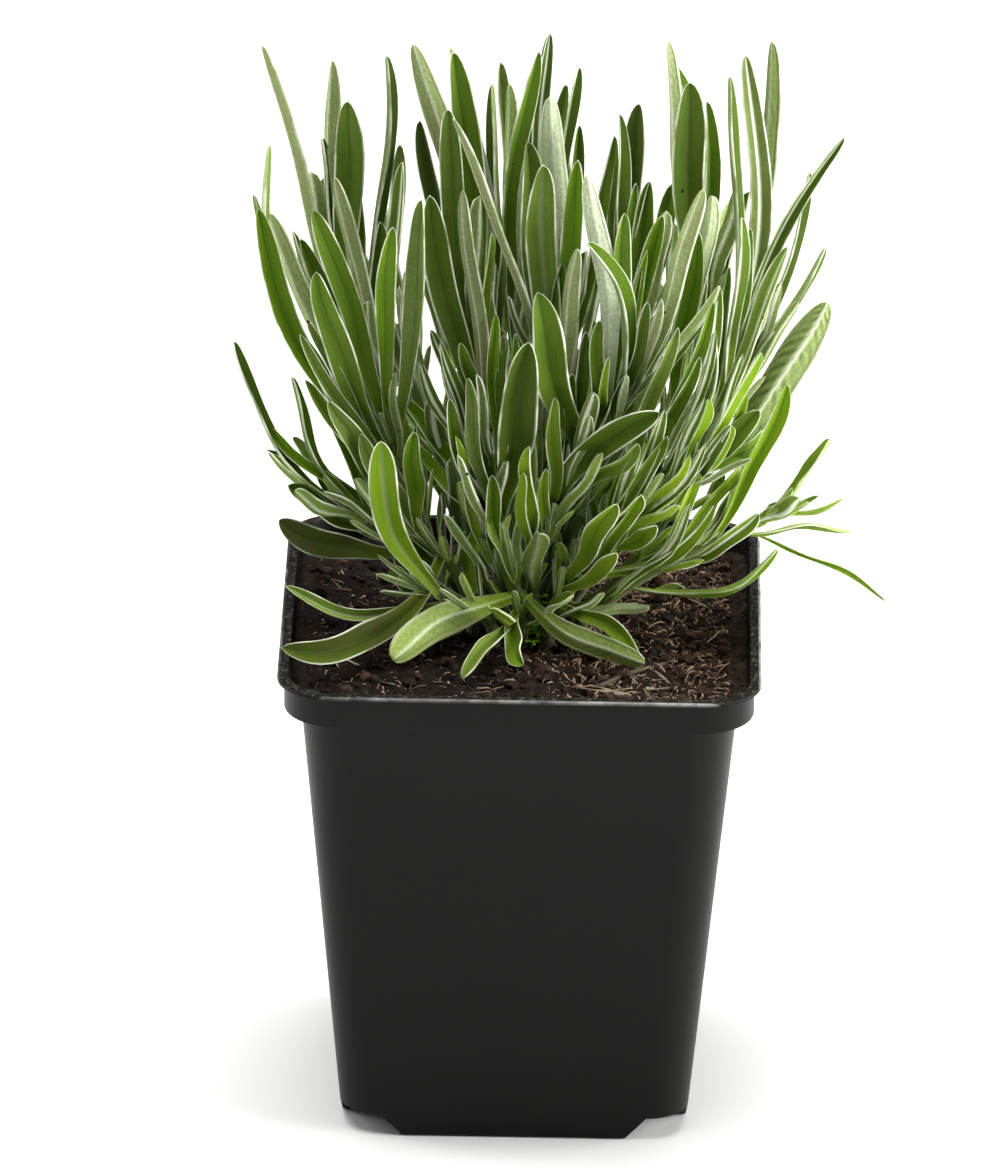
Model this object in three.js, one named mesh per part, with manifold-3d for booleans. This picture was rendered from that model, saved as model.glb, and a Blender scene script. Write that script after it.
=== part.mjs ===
// A young lavender plant in a square nursery pot, in millimetres, +Z up.
// The origin is the middle of the pot's base, and -Y is the plant's front.
import * as THREE from "three";
import { mergeVertices } from "three/addons/utils/BufferGeometryUtils.js";
import Module from "manifold-3d";

const wasm = await Module();
wasm.setup();

// Pot: a thin moulded square shell. Each half-width goes with the height where the wall has it.
const POT_HEIGHT = 95;
const LIP = { half: 45, radius: 11, thick: 0.9, edge: 0.3 };
const COLLAR = { half: 43.7, radius: 10.5, bottom: 88.6, edge: 0.4 };
const COLLAR_INSIDE = { half: 43.1, radius: 9.5, ledge: 42.2, ledgeRadius: 9, ledgeRise: 0.7 };
const BODY_TOP = { half: 40.6, radius: 9.5, z: 88 };
const BASE = { half: 32.5, radius: 8, edge: 0.8 };
const WALL = 1;
const CORNER_STEPS = 4;
// The corners of the base are raised, so that the pot stands on the middle of each side.
const NOTCH = { foot: 20.8, top: 25, height: 4.6, radius: 4, far: 15 };
// Drain holes: four in the floor, and one in each raised corner.
const FLOOR_DRAIN = { radius: 3.2, at: 14, bottom: -2, top: 3 };
const CORNER_DRAIN = { radius: 2.1, at: 27.2, bottom: 2, top: 8 };
const DRAIN_SIDES = 8;

// Compost: it fills the pot to its level, clear of the wall and of each stem by the gap.
const GAP = 0.32;
const SOIL_LEVEL = 89.6;
const SOIL_CELL = 5.4;
const SOIL_SWELL = { broad: 0.5, fine: 0.35, crumb: 0.55 };
const SOIL_MOUND = { height: 0.9, reach: 20.5 };

// Stems: each is sunk in the compost and rises a little before it bends.
const STEM = { foot: 1.25, top: 0.75, sides: 6, steps: 5, sunk: 9, rise: 3 };

// Leaves: where their rings stand from root to tip, and the form of the blade.
const LARGE_BLADE = [0, 0.24, 0.48, 0.7, 0.88, 1];
const SMALL_BLADE = [0, 0.3, 0.6, 0.85, 1];
const WIDE_BLADE = 5;
const BLADE = { thick: 1.2, fold: 0.22, root: 0.24, widest: 0.62, taper: 0.6, blunt: 2.4, round: 0.62 };
// The least gap between two shoots, and between two leaves of one shoot past the part where they may join.
const CLEAR = 0.34;
const OWN_CLEAR = 0.12;
const JOINED = 0.34;

// The plant leans a little to the left, closes in a little with each millimetre of height, and spreads to
// front and back in its upper part. A point that moves back is lowered, so that the front view stays.
const LEAN = -0.014;
const TAPER = 0.00017;
const SPREAD = { most: 0.75, from: 102, full: 165 };
const FRONT_SLOPE = 0.42;
const TO_FRONT = new THREE.Vector3(0, -0.92, 0.39);

// The rule that adds the leaf pairs: where they grow, and how they turn, open and vary. Angles in degrees.
const PAIRS = { lowest: 0.2, highest: 0.98, first: 40, turn: 90, sway: 22, openSway: 6, lengthSway: 0.14 };
const PAIR_WIDTH = { base: 3.6, sway: 0.9, share: 0.02 };
const PAIR_CURVE = { middle: 0.5, end: 0.52, along: 0.72, rise: 0.4, riseSway: 0.15 };

// How a leaf is bent clear of other shoots, the smallest change first.
const SHIFTS = [0, 3, -3, 6, -6, 9, -9, 12, -12, 15, -15];
const LIFTS = [0, 1.2, 2.5, 4, 6];
const TURNS = [0, 16, -16, 32, -32, 48, -48, 64, -64];
const TILTS = [0, -9, 9, -18];
const SCALES = [1, 0.82, 0.66];

// One seeded number from 0 to 1 for each n.
function chance(n) {
  const s = Math.sin(n * 12.9898 + 4.1414) * 43758.5453;
  return s - Math.floor(s);
}

// A seeded number from -1 to 1.
const sway = (n) => 2 * chance(n) - 1;

// A point of the plant, with its lean, taper and spread.
function placed([x, y, z]) {
  const above = z - POT_HEIGHT;
  const scale = 1 - TAPER * above;
  const share = THREE.MathUtils.clamp((z - SPREAD.from) / (SPREAD.full - SPREAD.from), 0, 1);
  const back = y * SPREAD.most * share;
  const height = POT_HEIGHT + above * scale - FRONT_SLOPE * back;
  return new THREE.Vector3(x * scale + LEAN * above, y + back, height);
}

function solid(geometry) {
  const bare = geometry.clone();
  bare.deleteAttribute("normal");
  bare.deleteAttribute("uv");
  const merged = mergeVertices(bare, 1e-4);
  return new wasm.Manifold(
    new wasm.Mesh({
      numProp: 3,
      vertProperties: merged.attributes.position.array,
      triVerts: new Uint32Array(merged.index.array),
    }),
  );
}

function mesh(name, made, material) {
  const m = made.getMesh();
  const geometry = new THREE.BufferGeometry();
  geometry.setAttribute("position", new THREE.BufferAttribute(m.vertProperties, 3));
  geometry.setIndex(new THREE.BufferAttribute(m.triVerts, 1));
  geometry.computeVertexNormals();
  const part = new THREE.Mesh(geometry, material);
  part.name = name;
  return part;
}

// Pot and compost

// The corner points of a rounded square, counter-clockwise.
function roundedSquare(half, radius) {
  const points = [];
  for (let corner = 0; corner < 4; corner++) {
    for (let i = 0; i <= CORNER_STEPS; i++) {
      const turn = (corner + i / CORNER_STEPS) * (Math.PI / 2);
      const cx = (half - radius) * (corner === 0 || corner === 3 ? 1 : -1);
      const cy = (half - radius) * (corner < 2 ? 1 : -1);
      points.push([cx + radius * Math.cos(turn), cy + radius * Math.sin(turn)]);
    }
  }
  return points;
}

// A closed solid through rounded squares of [half, z, radius] about [cx, cy], lowest first.
// It starts as a plain cylinder with as many sides, whose rings are then moved to their places.
function loft(rings, cx = 0, cy = 0) {
  const outlines = rings.map(([half, , radius]) => roundedSquare(half, radius));
  const sides = outlines[0].length;
  const geometry = new THREE.CylinderGeometry(1, 1, rings.length - 1, sides, rings.length - 1);
  const position = geometry.attributes.position;
  for (let i = 0; i < position.count; i++) {
    const ring = Math.round(position.getY(i) + (rings.length - 1) / 2);
    const onAxis = Math.hypot(position.getX(i), position.getZ(i)) < 0.5;
    const turn = Math.atan2(position.getX(i), position.getZ(i)) / (2 * Math.PI);
    const side = Math.round((turn + 1) * sides) % sides;
    const [x, y] = onAxis ? [0, 0] : outlines[ring][side];
    position.setXYZ(i, cx + x, cy + y, rings[ring][1]);
  }
  return solid(geometry);
}

// What is cut from each corner of the base, grown by extra. Its inner sides slant outwards as they rise.
function cornerBlocks(extra) {
  const slope = (NOTCH.top - NOTCH.foot) / NOTCH.height;
  const inner = (z) => NOTCH.foot + slope * z - extra * Math.hypot(1, slope);
  const reach = inner(0) + NOTCH.far;
  const ring = (z) => [reach - inner(z), z, NOTCH.radius];
  const block = (x, y) => loft([ring(-NOTCH.height), ring(NOTCH.height + extra)], x * reach, y * reach);
  const signs = [1, -1];
  return signs.flatMap((x) => signs.map((y) => block(x, y))).reduce((a, b) => a.add(b));
}

function post(radius, x, y, bottom, top, sides) {
  const geometry = new THREE.CylinderGeometry(radius, radius, top - bottom, sides);
  geometry.rotateX(Math.PI / 2);
  geometry.translate(x, y, (bottom + top) / 2);
  return solid(geometry);
}

// The wall's half-width at a height below the collar.
const bodyHalf = (z) => BASE.half + ((BODY_TOP.half - BASE.half) * z) / BODY_TOP.z;

// The pot's hollow, taken in by a gap on all sides, up to a height.
function hollow(gap, bottom, top) {
  const inner = WALL + gap;
  const ledge = COLLAR.bottom + inner;
  const under = ledge - COLLAR_INSIDE.ledgeRise;
  return loft([
    [bodyHalf(bottom) - inner, bottom, BASE.radius - inner],
    [bodyHalf(under) - inner, under, BODY_TOP.radius - inner],
    [COLLAR_INSIDE.ledge - gap, ledge, COLLAR_INSIDE.ledgeRadius],
    [COLLAR_INSIDE.half - gap, top, COLLAR_INSIDE.radius],
  ]).subtract(cornerBlocks(inner));
}

function makePot() {
  const lipBottom = POT_HEIGHT - LIP.thick;
  const shell = loft([
    [BASE.half - BASE.edge, 0, BASE.radius - BASE.edge],
    [bodyHalf(BASE.edge), BASE.edge, BASE.radius],
    [BODY_TOP.half, BODY_TOP.z, BODY_TOP.radius],
    [COLLAR.half - COLLAR.edge, COLLAR.bottom - COLLAR.edge, COLLAR.radius - COLLAR.edge],
    [COLLAR.half, COLLAR.bottom, COLLAR.radius],
    [COLLAR.half, lipBottom - COLLAR.edge, COLLAR.radius],
    [LIP.half, lipBottom, LIP.radius],
    [LIP.half, POT_HEIGHT - LIP.edge, LIP.radius],
    [LIP.half - COLLAR.edge, POT_HEIGHT, LIP.radius - COLLAR.edge],
  ]);
  let pot = shell.subtract(cornerBlocks(0)).subtract(hollow(0, WALL, POT_HEIGHT + WALL));
  for (const { radius, at, bottom, top } of [FLOOR_DRAIN, CORNER_DRAIN]) {
    for (const x of [at, -at]) {
      for (const y of [at, -at]) {
        pot = pot.subtract(post(radius, x, y, bottom, top, DRAIN_SIDES));
      }
    }
  }
  return pot;
}

// The height of the compost: swells with wavelengths of 57 to 70 and of 16 mm, a mound at the crown, and
// crumbs as wide as a cell.
function soilHeight(x, y) {
  const broad = SOIL_SWELL.broad * Math.sin(0.11 * x + 0.7) * Math.cos(0.09 * y - 0.4);
  const fine = SOIL_SWELL.fine * Math.sin(0.31 * x + 0.23 * y);
  const mound = SOIL_MOUND.height * Math.exp(-(x * x + y * y) / SOIL_MOUND.reach ** 2);
  const cell = Math.round(x / SOIL_CELL) * 131 + Math.round(y / SOIL_CELL) * 17;
  return SOIL_LEVEL + broad + fine + mound + SOIL_SWELL.crumb * sway(cell);
}

function makeSoil(feet) {
  const cells = 2 * Math.round(COLLAR.half / SOIL_CELL);
  const width = cells * SOIL_CELL;
  const geometry = new THREE.BoxGeometry(width, width, 1, cells, cells, 1);
  const position = geometry.attributes.position;
  for (let i = 0; i < position.count; i++) {
    const top = position.getZ(i) > 0;
    position.setZ(i, top ? soilHeight(position.getX(i), position.getY(i)) : 0);
  }
  let soil = solid(geometry).intersect(hollow(GAP, WALL + GAP, POT_HEIGHT));
  // The hole has as many sides as the stem, so its corners stand off by more than its faces.
  const radius = STEM.foot + GAP / Math.cos(Math.PI / STEM.sides);
  for (const [x, y] of feet) {
    soil = soil.subtract(post(radius, x, y, SOIL_LEVEL - STEM.sunk - GAP, POT_HEIGHT, STEM.sides));
  }
  return soil;
}

// The plant: each shoot is a stem that stands in the compost, with its leaves.
//   foot: [x, y] at the compost, bend: what pulls the stem's curve, top: its end
//   pairs: how many leaf pairs the rule adds, leaf: their length, open: how wide they stand
//   leaves: the ones that give the plant its outline, each
//     [place on the stem from 0 to 1, tip x, y, z, width, bow, face]
//     bow: how far the middle bulges to the right of the line from root to tip
//     face: which way the upper side looks, 0 to the front, 90 to the left, 180 to the back
const SHOOTS = [
  {
    name: "front_crown",
    foot: [0, -7], bend: [0, -7.5, 95], top: [-1, -6.5, 102.5],
    pairs: 2, leaf: 17, open: 50,
    leaves: [
      [0.84, -23.8, -18, 91.4, 6.6, 1.6, 180],
      [0.5, -10.7, -26, 91.2, 3, 0.5, 30],
      [0.62, 0.6, -19, 91.2, 3.6, 2, 10],
      [0.92, 23.2, -17.6, 91.4, 4.8, 1.8, 180],
      [1, -6, -10, 118, 3.4, -0.5, 30],
    ],
  },
  {
    name: "front_left_low",
    foot: [-5, -8], bend: [-6, -8, 98], top: [-15, -8, 100.5],
    pairs: 1, leaf: 12, open: 50,
    leaves: [
      [0.8, -44, -12, 103.5, 3, -4.6, 20],
      [1, -26, -14, 134, 5.6, -3.8, 0],
    ],
  },
  {
    name: "front_right",
    foot: [5, -7], bend: [5, -7, 97], top: [9, -6, 104],
    pairs: 2, leaf: 18, open: 50,
    leaves: [
      [0.6, 22.4, -16.4, 91.6, 4.2, -1.5, 60],
      [0.7, 24, -4, 97, 3, 2, 180],
      [1, 36, -9, 120, 3.4, 4.5, 60],
      [0.9, 18, -16, 123, 4.2, -0.5, 10],
      [0.8, 18, -16, 113, 3.2, 0.8, 20],
    ],
  },
  {
    name: "left_droop",
    foot: [-9, -4], bend: [-10, -4, 104], top: [-19, -3, 110],
    pairs: 2, leaf: 20, open: 40,
    leaves: [
      [0.74, -44.3, -26.6, 97.2, 5.4, -8, 10],
      [0.92, -30, -8, 133, 3.4, -1, 0],
      [1, -20, -9, 134, 3.8, -1, 10],
    ],
  },
  {
    name: "front_mid",
    foot: [-4, -3.5], bend: [-4, -4, 104], top: [-5, -5, 120],
    pairs: 3, leaf: 28, open: 30,
    leaves: [
      [0.82, 1.5, -10, 153, 7, 0.5, 5],
      [1, -11, -3, 181, 3.2, -0.6, 150],
    ],
  },
  {
    name: "front_right_up",
    foot: [1, -2.5], bend: [2, -3, 104], top: [8, -5, 120],
    pairs: 3, leaf: 26, open: 32,
    leaves: [
      [0.8, 26, -12, 140, 5.4, -4.6, 10],
      [1, 22, -13, 134, 3.2, 1.5, 30],
    ],
  },
  {
    name: "right_mid",
    foot: [6, -2.5], bend: [10, -3, 106], top: [30, -5, 124],
    pairs: 3, leaf: 20, open: 34,
    leaves: [
      [0.84, 35, -10, 142, 3.2, 1.5, 60],
      [0.92, 39.5, -8, 136, 3.4, 1.5, 60],
      [0.5, 22.5, -14, 124, 3.4, 0.8, 20],
      [0.58, 25.5, -12, 117, 3.4, 1, 20],
      [0.66, 36, -8, 155, 3.2, 6.3, 75],
      [1, 46, 4, 130, 3.2, 1, 20],
      [0.76, 45, -6, 150, 3, 2.5, 60],
    ],
  },
  {
    name: "right_low",
    foot: [10, -4], bend: [20, -5, 104], top: [44, 2, 112],
    pairs: 1, leaf: 12, open: 35,
    leaves: [
      [0.8, 50, 2, 140.5, 3.6, 1.7, 20],
      [1, 58, 2, 129.5, 3.6, 1.8, -60],
      [0.97, 60.5, 8, 115, 1.8, 0, 30],
      [0.9, 62, -1, 112, 1.6, -1, 60],
      [0.94, 68.5, -6, 100, 2.2, -2, 40],
      [0.4, 48, -9, 111.5, 2.6, 5, 70],
      [0.6, 44.5, -5, 117, 4, 1.5, 30],
      [0.7, 45.2, 3, 131, 3.4, 2, 30],
      [0.5, 38, 6, 121, 3, 1.5, 20],
    ],
  },
  {
    name: "far_left_low",
    foot: [-12.5, -0.5], bend: [-15, -3, 103], top: [-29, -1, 112],
    pairs: 2, leaf: 16, open: 35,
    leaves: [
      [0.95, -54.3, 2, 147.5, 3.8, -5.4, 60],
      [0.86, -44, 0, 119, 4.2, -1.3, 20],
      [0.72, -45.5, -5, 114, 5.2, -3, -10],
      [0.78, -48, 9, 122, 2.6, -2.5, 80],
      [1, -43.4, 3, 140, 3.4, -2.5, 60],
      [0.62, -36, 0, 135, 3.8, -2, 20],
    ],
  },
  {
    name: "left_main",
    foot: [-8, 1], bend: [-20, 3, 106], top: [-26, 2, 133],
    pairs: 2, leaf: 24, open: 22,
    leaves: [
      [0.72, -49.6, 0, 175.5, 4.4, -5, 15],
      [0.66, -47.6, 2, 188, 3.6, -10, 70],
      [0.8, -48, 7, 172, 4, -2, 150],
      [0.86, -39, -3, 176.5, 4.5, 0.5, 10],
      [0.94, -35.3, 3, 181, 3.6, 0, 150],
      [0.76, -38.3, -6, 165, 5.1, -2.3, -10],
      [0.9, -24, -5, 174, 3.8, -1.8, 20],
      [1, -22.4, 4, 184, 3.2, 0, 150],
      [0.84, -18.6, -3, 179, 4, 0.7, -20],
      [0.6, -41, -2, 150, 3, -2, 30],
      [0.52, -36, -9, 140, 4, -1, 0],
    ],
  },
  {
    name: "centre_left",
    foot: [-3.5, 1], bend: [-5, 3, 112], top: [-9.5, 6, 145],
    pairs: 4, leaf: 34, open: 24,
    leaves: [
      [0.7, -17.3, 2, 178, 5.2, -1, 0],
      [0.84, -19.4, 10, 190.5, 3.6, -0.5, -30],
      [0.78, -14, 7, 194, 4.8, -0.5, 0],
      [0.92, -13.2, 12, 204, 5.2, 1.4, 5],
      [1, -21, 14, 205, 4.8, 2.5, 170],
    ],
  },
  {
    name: "centre",
    foot: [1.5, 2], bend: [2, 2, 112], top: [5.5, 4, 137],
    pairs: 3, leaf: 34, open: 20,
    leaves: [
      [0.86, 4.1, 1, 185, 5.8, -0.3, 0],
      [0.94, 1.1, 6, 188, 4.8, -0.3, 15],
      [0.78, 10.7, 0, 186.5, 4, 0.8, -20],
      [1, 5.3, 8, 196.5, 5.2, 0.8, 170],
      [0.7, 10.7, -6, 170.5, 3.6, 0, 160],
      [0.82, -12.8, -4, 196, 3.2, 2.8, 110],
    ],
  },
  {
    name: "centre_right",
    foot: [5.5, 2], bend: [8, 0, 112], top: [18.8, -2, 136],
    pairs: 3, leaf: 26, open: 26,
    leaves: [
      [0.7, 3.2, -12, 164, 6.2, -1.2, 0],
      [0.84, 12.4, -4, 185, 4, 2, 170],
      [0.92, 12.4, -8, 172.5, 4.2, 5.2, 60],
      [1, 34.2, -3, 182, 4, 0.5, 150],
      [0.8, 37.2, -6, 163.5, 3.8, 0, 80],
    ],
  },
  {
    name: "right",
    foot: [10, 1], bend: [26, 1, 106], top: [40, 5, 137],
    pairs: 2, leaf: 26, open: 24,
    leaves: [
      [1, 39.3, 12, 200, 3, 0.5, 60],
      [0.94, 42.3, 10, 205, 4.4, 3.7, 80],
      [0.97, 47.4, 12, 207.5, 3.8, 1.5, 150],
      [0.88, 61, 8, 189, 3, -4, 80],
      [0.84, 54.5, 12, 180.5, 3, 2, 60],
      [0.8, 57.3, 4, 168, 3.2, 0, 70],
      [0.76, 50.2, 0, 169.5, 3.2, 0, 150],
      [0.9, 41.4, -2, 176, 4, 0.5, 60],
      [0.68, 57.7, 2, 157.5, 6.8, 2.3, 180],
    ],
  },
  {
    name: "left_back",
    foot: [-9, 5], bend: [-26, 8, 108], top: [-34, 14, 150],
    pairs: 2, leaf: 26, open: 20,
    leaves: [
      [0.84, -49.6, 14, 204, 3.6, -0.5, 110],
      [1, -36.3, 16, 200.5, 3.4, -1, 150],
      [0.94, -33.3, 12, 193.5, 5.6, 0, 0],
      [0.9, -26, 15, 202, 3.6, 2.3, 70],
      [0.76, -27, 10, 169.5, 3.4, 0, 30],
      [0.68, -23.4, 12, 185, 3.6, 0, 30],
    ],
  },
  {
    name: "centre_back",
    foot: [-1, 6], bend: [-1, 9, 112], top: [-1.3, 13, 145],
    pairs: 3, leaf: 34, open: 22,
    leaves: [
      [1, -4.3, 18, 200, 3.2, 0, 30],
      [0.9, -5.6, 12, 197.5, 3.2, -0.5, -60],
      [0.86, -2.6, 14, 197, 3.2, 0, 150],
      [0.8, 3.2, 10, 205, 3.8, -3.2, 40],
      [0.94, 5.2, 14, 207.5, 3.4, 0.5, 80],
      [0.97, 10.7, 16, 200, 3.2, 1, 60],
      [0.83, 8.3, 20, 195, 3.6, 0, 0],
    ],
  },
  {
    name: "right_mid_back",
    foot: [4, 6.5], bend: [8, 7, 112], top: [21, 8, 146],
    pairs: 3, leaf: 30, open: 24,
    leaves: [
      [0.92, 18.4, 10, 192.5, 3, 0.6, 40],
      [0.8, 17.5, 14, 186.5, 3, -0.5, 40],
      [1, 22.2, 12, 194, 4.6, -1.5, -20],
      [0.86, 24.2, 4, 181, 4.2, 0, 10],
      [0.76, 26.7, 0, 175.5, 3.8, 0, -10],
    ],
  },
  {
    name: "right_back",
    foot: [8.5, 5.5], bend: [20, 7, 108], top: [34.5, 11, 149],
    pairs: 3, leaf: 28, open: 22,
    leaves: [
      [1, 27.6, 14, 206.5, 3.2, -1, 150],
      [0.9, 28, 18, 201, 3.8, 6, 50],
      [0.95, 31.8, 8, 200, 6.2, 0, 0],
      [0.84, 36, 0, 179.5, 3.8, 0, 170],
      [0.78, 33.5, 0, 172, 3.8, 0, 0],
    ],
  },
  {
    name: "back_left",
    foot: [-6, 9.5], bend: [-13, 12, 110], top: [-22, 17, 138],
    pairs: 5, leaf: 34, open: 32,
    leaves: [],
  },
  {
    name: "back_mid_left",
    foot: [-1, 10.5], bend: [-4, 15, 112], top: [-7, 22, 144],
    pairs: 5, leaf: 34, open: 32,
    leaves: [],
  },
  {
    name: "back_mid_right",
    foot: [4, 11], bend: [7, 15, 112], top: [10, 20, 146],
    pairs: 5, leaf: 34, open: 32,
    leaves: [],
  },
  {
    name: "back_right",
    foot: [8.5, 10], bend: [17, 12, 108], top: [26, 17, 140],
    pairs: 5, leaf: 32, open: 32,
    leaves: [],
  },
];

function stemCurve(shoot) {
  const foot = new THREE.Vector3(...shoot.foot, SOIL_LEVEL + STEM.rise);
  return new THREE.QuadraticBezierCurve3(foot, placed(shoot.bend), placed(shoot.top));
}

// A cylinder of unit height, bent so that its axis follows place(t, x, z).
function bent(geometry, place) {
  const position = geometry.attributes.position;
  for (let i = 0; i < position.count; i++) {
    const p = place(position.getY(i) + 0.5, position.getX(i), position.getZ(i));
    position.setXYZ(i, p.x, p.y, p.z);
  }
  return solid(geometry);
}

// A stem rises straight through the compost and then follows its curve.
function makeStem(shoot) {
  const curve = stemCurve(shoot);
  const straight = 1 / STEM.steps;
  const geometry = new THREE.CylinderGeometry(STEM.top, STEM.foot, 1, STEM.sides, STEM.steps);
  const [footX, footY] = shoot.foot;
  return bent(geometry, (t, x, z) => {
    if (t < straight / 2) return new THREE.Vector3(footX + x, footY - z, SOIL_LEVEL - STEM.sunk);
    const u = (t - straight) / (1 - straight);
    const along = u < straight / 2 ? new THREE.Vector3(0, 0, 1) : curve.getTangent(u);
    const side = new THREE.Vector3(0, 1, 0).cross(along).normalize();
    const front = new THREE.Vector3().crossVectors(side, along);
    return curve.getPoint(u).addScaledVector(side, x).addScaledVector(front, z);
  });
}

// Half-width along a leaf: narrow at the root, widest past the middle, with a blunt tip.
function bladeHalf(width, t) {
  const grown = Math.min(t / BLADE.widest, 1);
  const rise = BLADE.root + (1 - BLADE.root) * grown * grown * (3 - 2 * grown);
  const end = Math.max(t - BLADE.taper, 0) / (1 - BLADE.taper);
  return (width / 2) * rise * Math.pow(Math.max(1 - Math.pow(end, BLADE.blunt), 0), BLADE.round);
}

// The middle line and the frame of a leaf at t: point, side, along and up.
function bladeFrame(leaf, t) {
  const along = leaf.curve.getTangent(t);
  const up = leaf.facing.clone().addScaledVector(along, -leaf.facing.dot(along)).normalize();
  up.applyAxisAngle(along, leaf.turn + leaf.twist * (t - 0.5));
  return { point: leaf.curve.getPoint(t), side: new THREE.Vector3().crossVectors(along, up), along, up };
}

// A four-sided blade: two edges, the groove above and the rib below, a little thinner where it is narrow.
// It may start part of the way along.
function makeBlade(leaf, start = 0) {
  const spans = leaf.stations.length - 1;
  const geometry = new THREE.CylinderGeometry(0, 1, 1, 4, spans);
  return bent(geometry, (height, x, z) => {
    const t = start + (1 - start) * leaf.stations[Math.round(height * spans)];
    const ring = 1 - height;
    const [s, n] = ring > 0 ? [x / ring, z / ring] : [0, 0];
    const half = bladeHalf(leaf.width, t);
    const { point, side, up } = bladeFrame(leaf, t);
    const thick = BLADE.thick * (0.75 + 0.25 * Math.min(half, 1));
    return point
      .addScaledVector(side, s * half)
      .addScaledVector(up, (n * thick) / 2 + Math.abs(s) * half * BLADE.fold);
  });
}

// The ways a listed leaf may stand: its own, then moved back or forward, then lifted.
function* listedWays(shoot, seed, [at, x, y, z, width, bow, face]) {
  const stem = stemCurve(shoot);
  const root = stem.getPoint(at);
  const line = new THREE.Vector2(x - root.x, z - root.z).normalize();
  for (const lift of LIFTS) {
    for (const shift of SHIFTS) {
      const tip = placed([x, y + shift, z - FRONT_SLOPE * shift + lift]);
      const control = root.clone().add(tip).multiplyScalar(0.5);
      control.add(new THREE.Vector3(line.y, 0, -line.x).multiplyScalar(2 * bow));
      control.y += 2.5 * sway(seed + 1);
      control.z += lift / 2;
      yield {
        curve: new THREE.QuadraticBezierCurve3(root, control, tip),
        width,
        stations: width < WIDE_BLADE ? SMALL_BLADE : LARGE_BLADE,
        facing: TO_FRONT,
        turn: THREE.MathUtils.degToRad(face),
        twist: 0.5 * sway(seed + 2),
      };
    }
  }
}

// The ways a leaf of the rule may stand. Pairs cross each other up the stem, and the youngest are the most
// upright.
function* ruleWays(shoot, seed, pair, hand) {
  const stem = stemCurve(shoot);
  const high = shoot.pairs > 1 ? pair / (shoot.pairs - 1) : 1;
  const at = PAIRS.lowest + (PAIRS.highest - PAIRS.lowest) * high;
  const root = stem.getPoint(at);
  const axis = stem.getTangent(at);
  const across = new THREE.Vector3(0, -1, 0).cross(axis).normalize();
  const azimuth = PAIRS.first + PAIRS.turn * pair + 180 * hand + PAIRS.sway * sway(seed + 3);
  const opening = shoot.open * (1.25 - 0.8 * high) + PAIRS.openSway * sway(seed + 4);
  const grown = 0.78 + 0.5 * high * (1.35 - high);
  const length = shoot.leaf * grown * (1 + PAIRS.lengthSway * sway(seed + 5));
  const rise = PAIR_CURVE.rise + PAIR_CURVE.riseSway * sway(seed + 6);
  for (const scale of SCALES) {
    for (const tilt of TILTS) {
      for (const turn of TURNS) {
        const out = across.clone().applyAxisAngle(axis, THREE.MathUtils.degToRad(azimuth + turn));
        const open = THREE.MathUtils.degToRad(opening + tilt);
        const start = axis.clone().multiplyScalar(Math.cos(open)).addScaledVector(out, Math.sin(open));
        const end = start.clone().multiplyScalar(PAIR_CURVE.along).add(new THREE.Vector3(0, 0, rise));
        const control = root.clone().addScaledVector(start, length * scale * PAIR_CURVE.middle);
        const tip = control.clone().addScaledVector(end.normalize(), length * scale * PAIR_CURVE.end);
        yield {
          curve: new THREE.QuadraticBezierCurve3(root, control, tip),
          width: PAIR_WIDTH.base + PAIR_WIDTH.sway * sway(seed + 7) + PAIR_WIDTH.share * length,
          stations: SMALL_BLADE,
          facing: axis.clone().multiplyScalar(Math.sin(open)).addScaledVector(out, -Math.cos(open)),
          turn: 0.5 * sway(seed + 8),
          twist: 0.6 * sway(seed + 9),
        };
      }
    }
  }
}

// Joins solids into one body. A hollow that the joining seals is filled, and a loose scrap is dropped.
function fused(solids) {
  const bodies = solids.reduce((a, b) => a.add(b)).decompose();
  return bodies.reduce((a, b) => (b.volume() > a.volume() ? b : a));
}

function boxOf(made) {
  const { min, max } = made.boundingBox();
  return new THREE.Box3(new THREE.Vector3(...min), new THREE.Vector3(...max)).expandByScalar(CLEAR);
}

// Grows every shoot. A leaf that would touch another shoot, the pot or the compost is bent until it is
// clear, and is bent off its own neighbours where it can be. One that finds no room is left off.
function growShoots(around) {
  const fixed = around.map((made) => ({ made, box: boxOf(made) }));
  const grown = SHOOTS.map((shoot) => {
    const made = makeStem(shoot);
    return [{ made, box: boxOf(made) }];
  });
  const touches = (a, b, gap) => a.box.intersectsBox(b.box) && a.made.minGap(b.made, gap) < gap;
  const settle = (owner, ways) => {
    const others = fixed.concat(...grown.filter((parts, i) => i !== owner));
    let spare;
    for (const leaf of ways) {
      const made = makeBlade(leaf);
      const part = { made, box: boxOf(made) };
      if (others.some((other) => touches(part, other, CLEAR))) continue;
      const outer = makeBlade(leaf, JOINED);
      part.outer = { made: outer, box: boxOf(outer) };
      spare ??= part;
      if (grown[owner].some((own) => own.outer && touches(part.outer, own.outer, OWN_CLEAR))) continue;
      spare = part;
      break;
    }
    if (spare) grown[owner].push(spare);
  };
  SHOOTS.forEach((shoot, owner) => {
    shoot.leaves.forEach((row, i) => settle(owner, listedWays(shoot, owner * 1000 + i * 10, row)));
  });
  SHOOTS.forEach((shoot, owner) => {
    for (let pair = shoot.pairs - 1; pair >= 0; pair--) {
      for (const hand of [0, 1]) {
        const seed = owner * 1000 + 500 + pair * 20 + hand * 10;
        settle(owner, ruleWays(shoot, seed, pair, hand));
      }
    }
  });
  return grown.map((parts) => fused(parts.map((part) => part.made)));
}

// The potted plant

const plastic = new THREE.MeshStandardMaterial({ color: 0x232322, roughness: 0.42, metalness: 0 });
const compost = new THREE.MeshStandardMaterial({ color: 0x2a1c14, roughness: 0.95, metalness: 0 });

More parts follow.
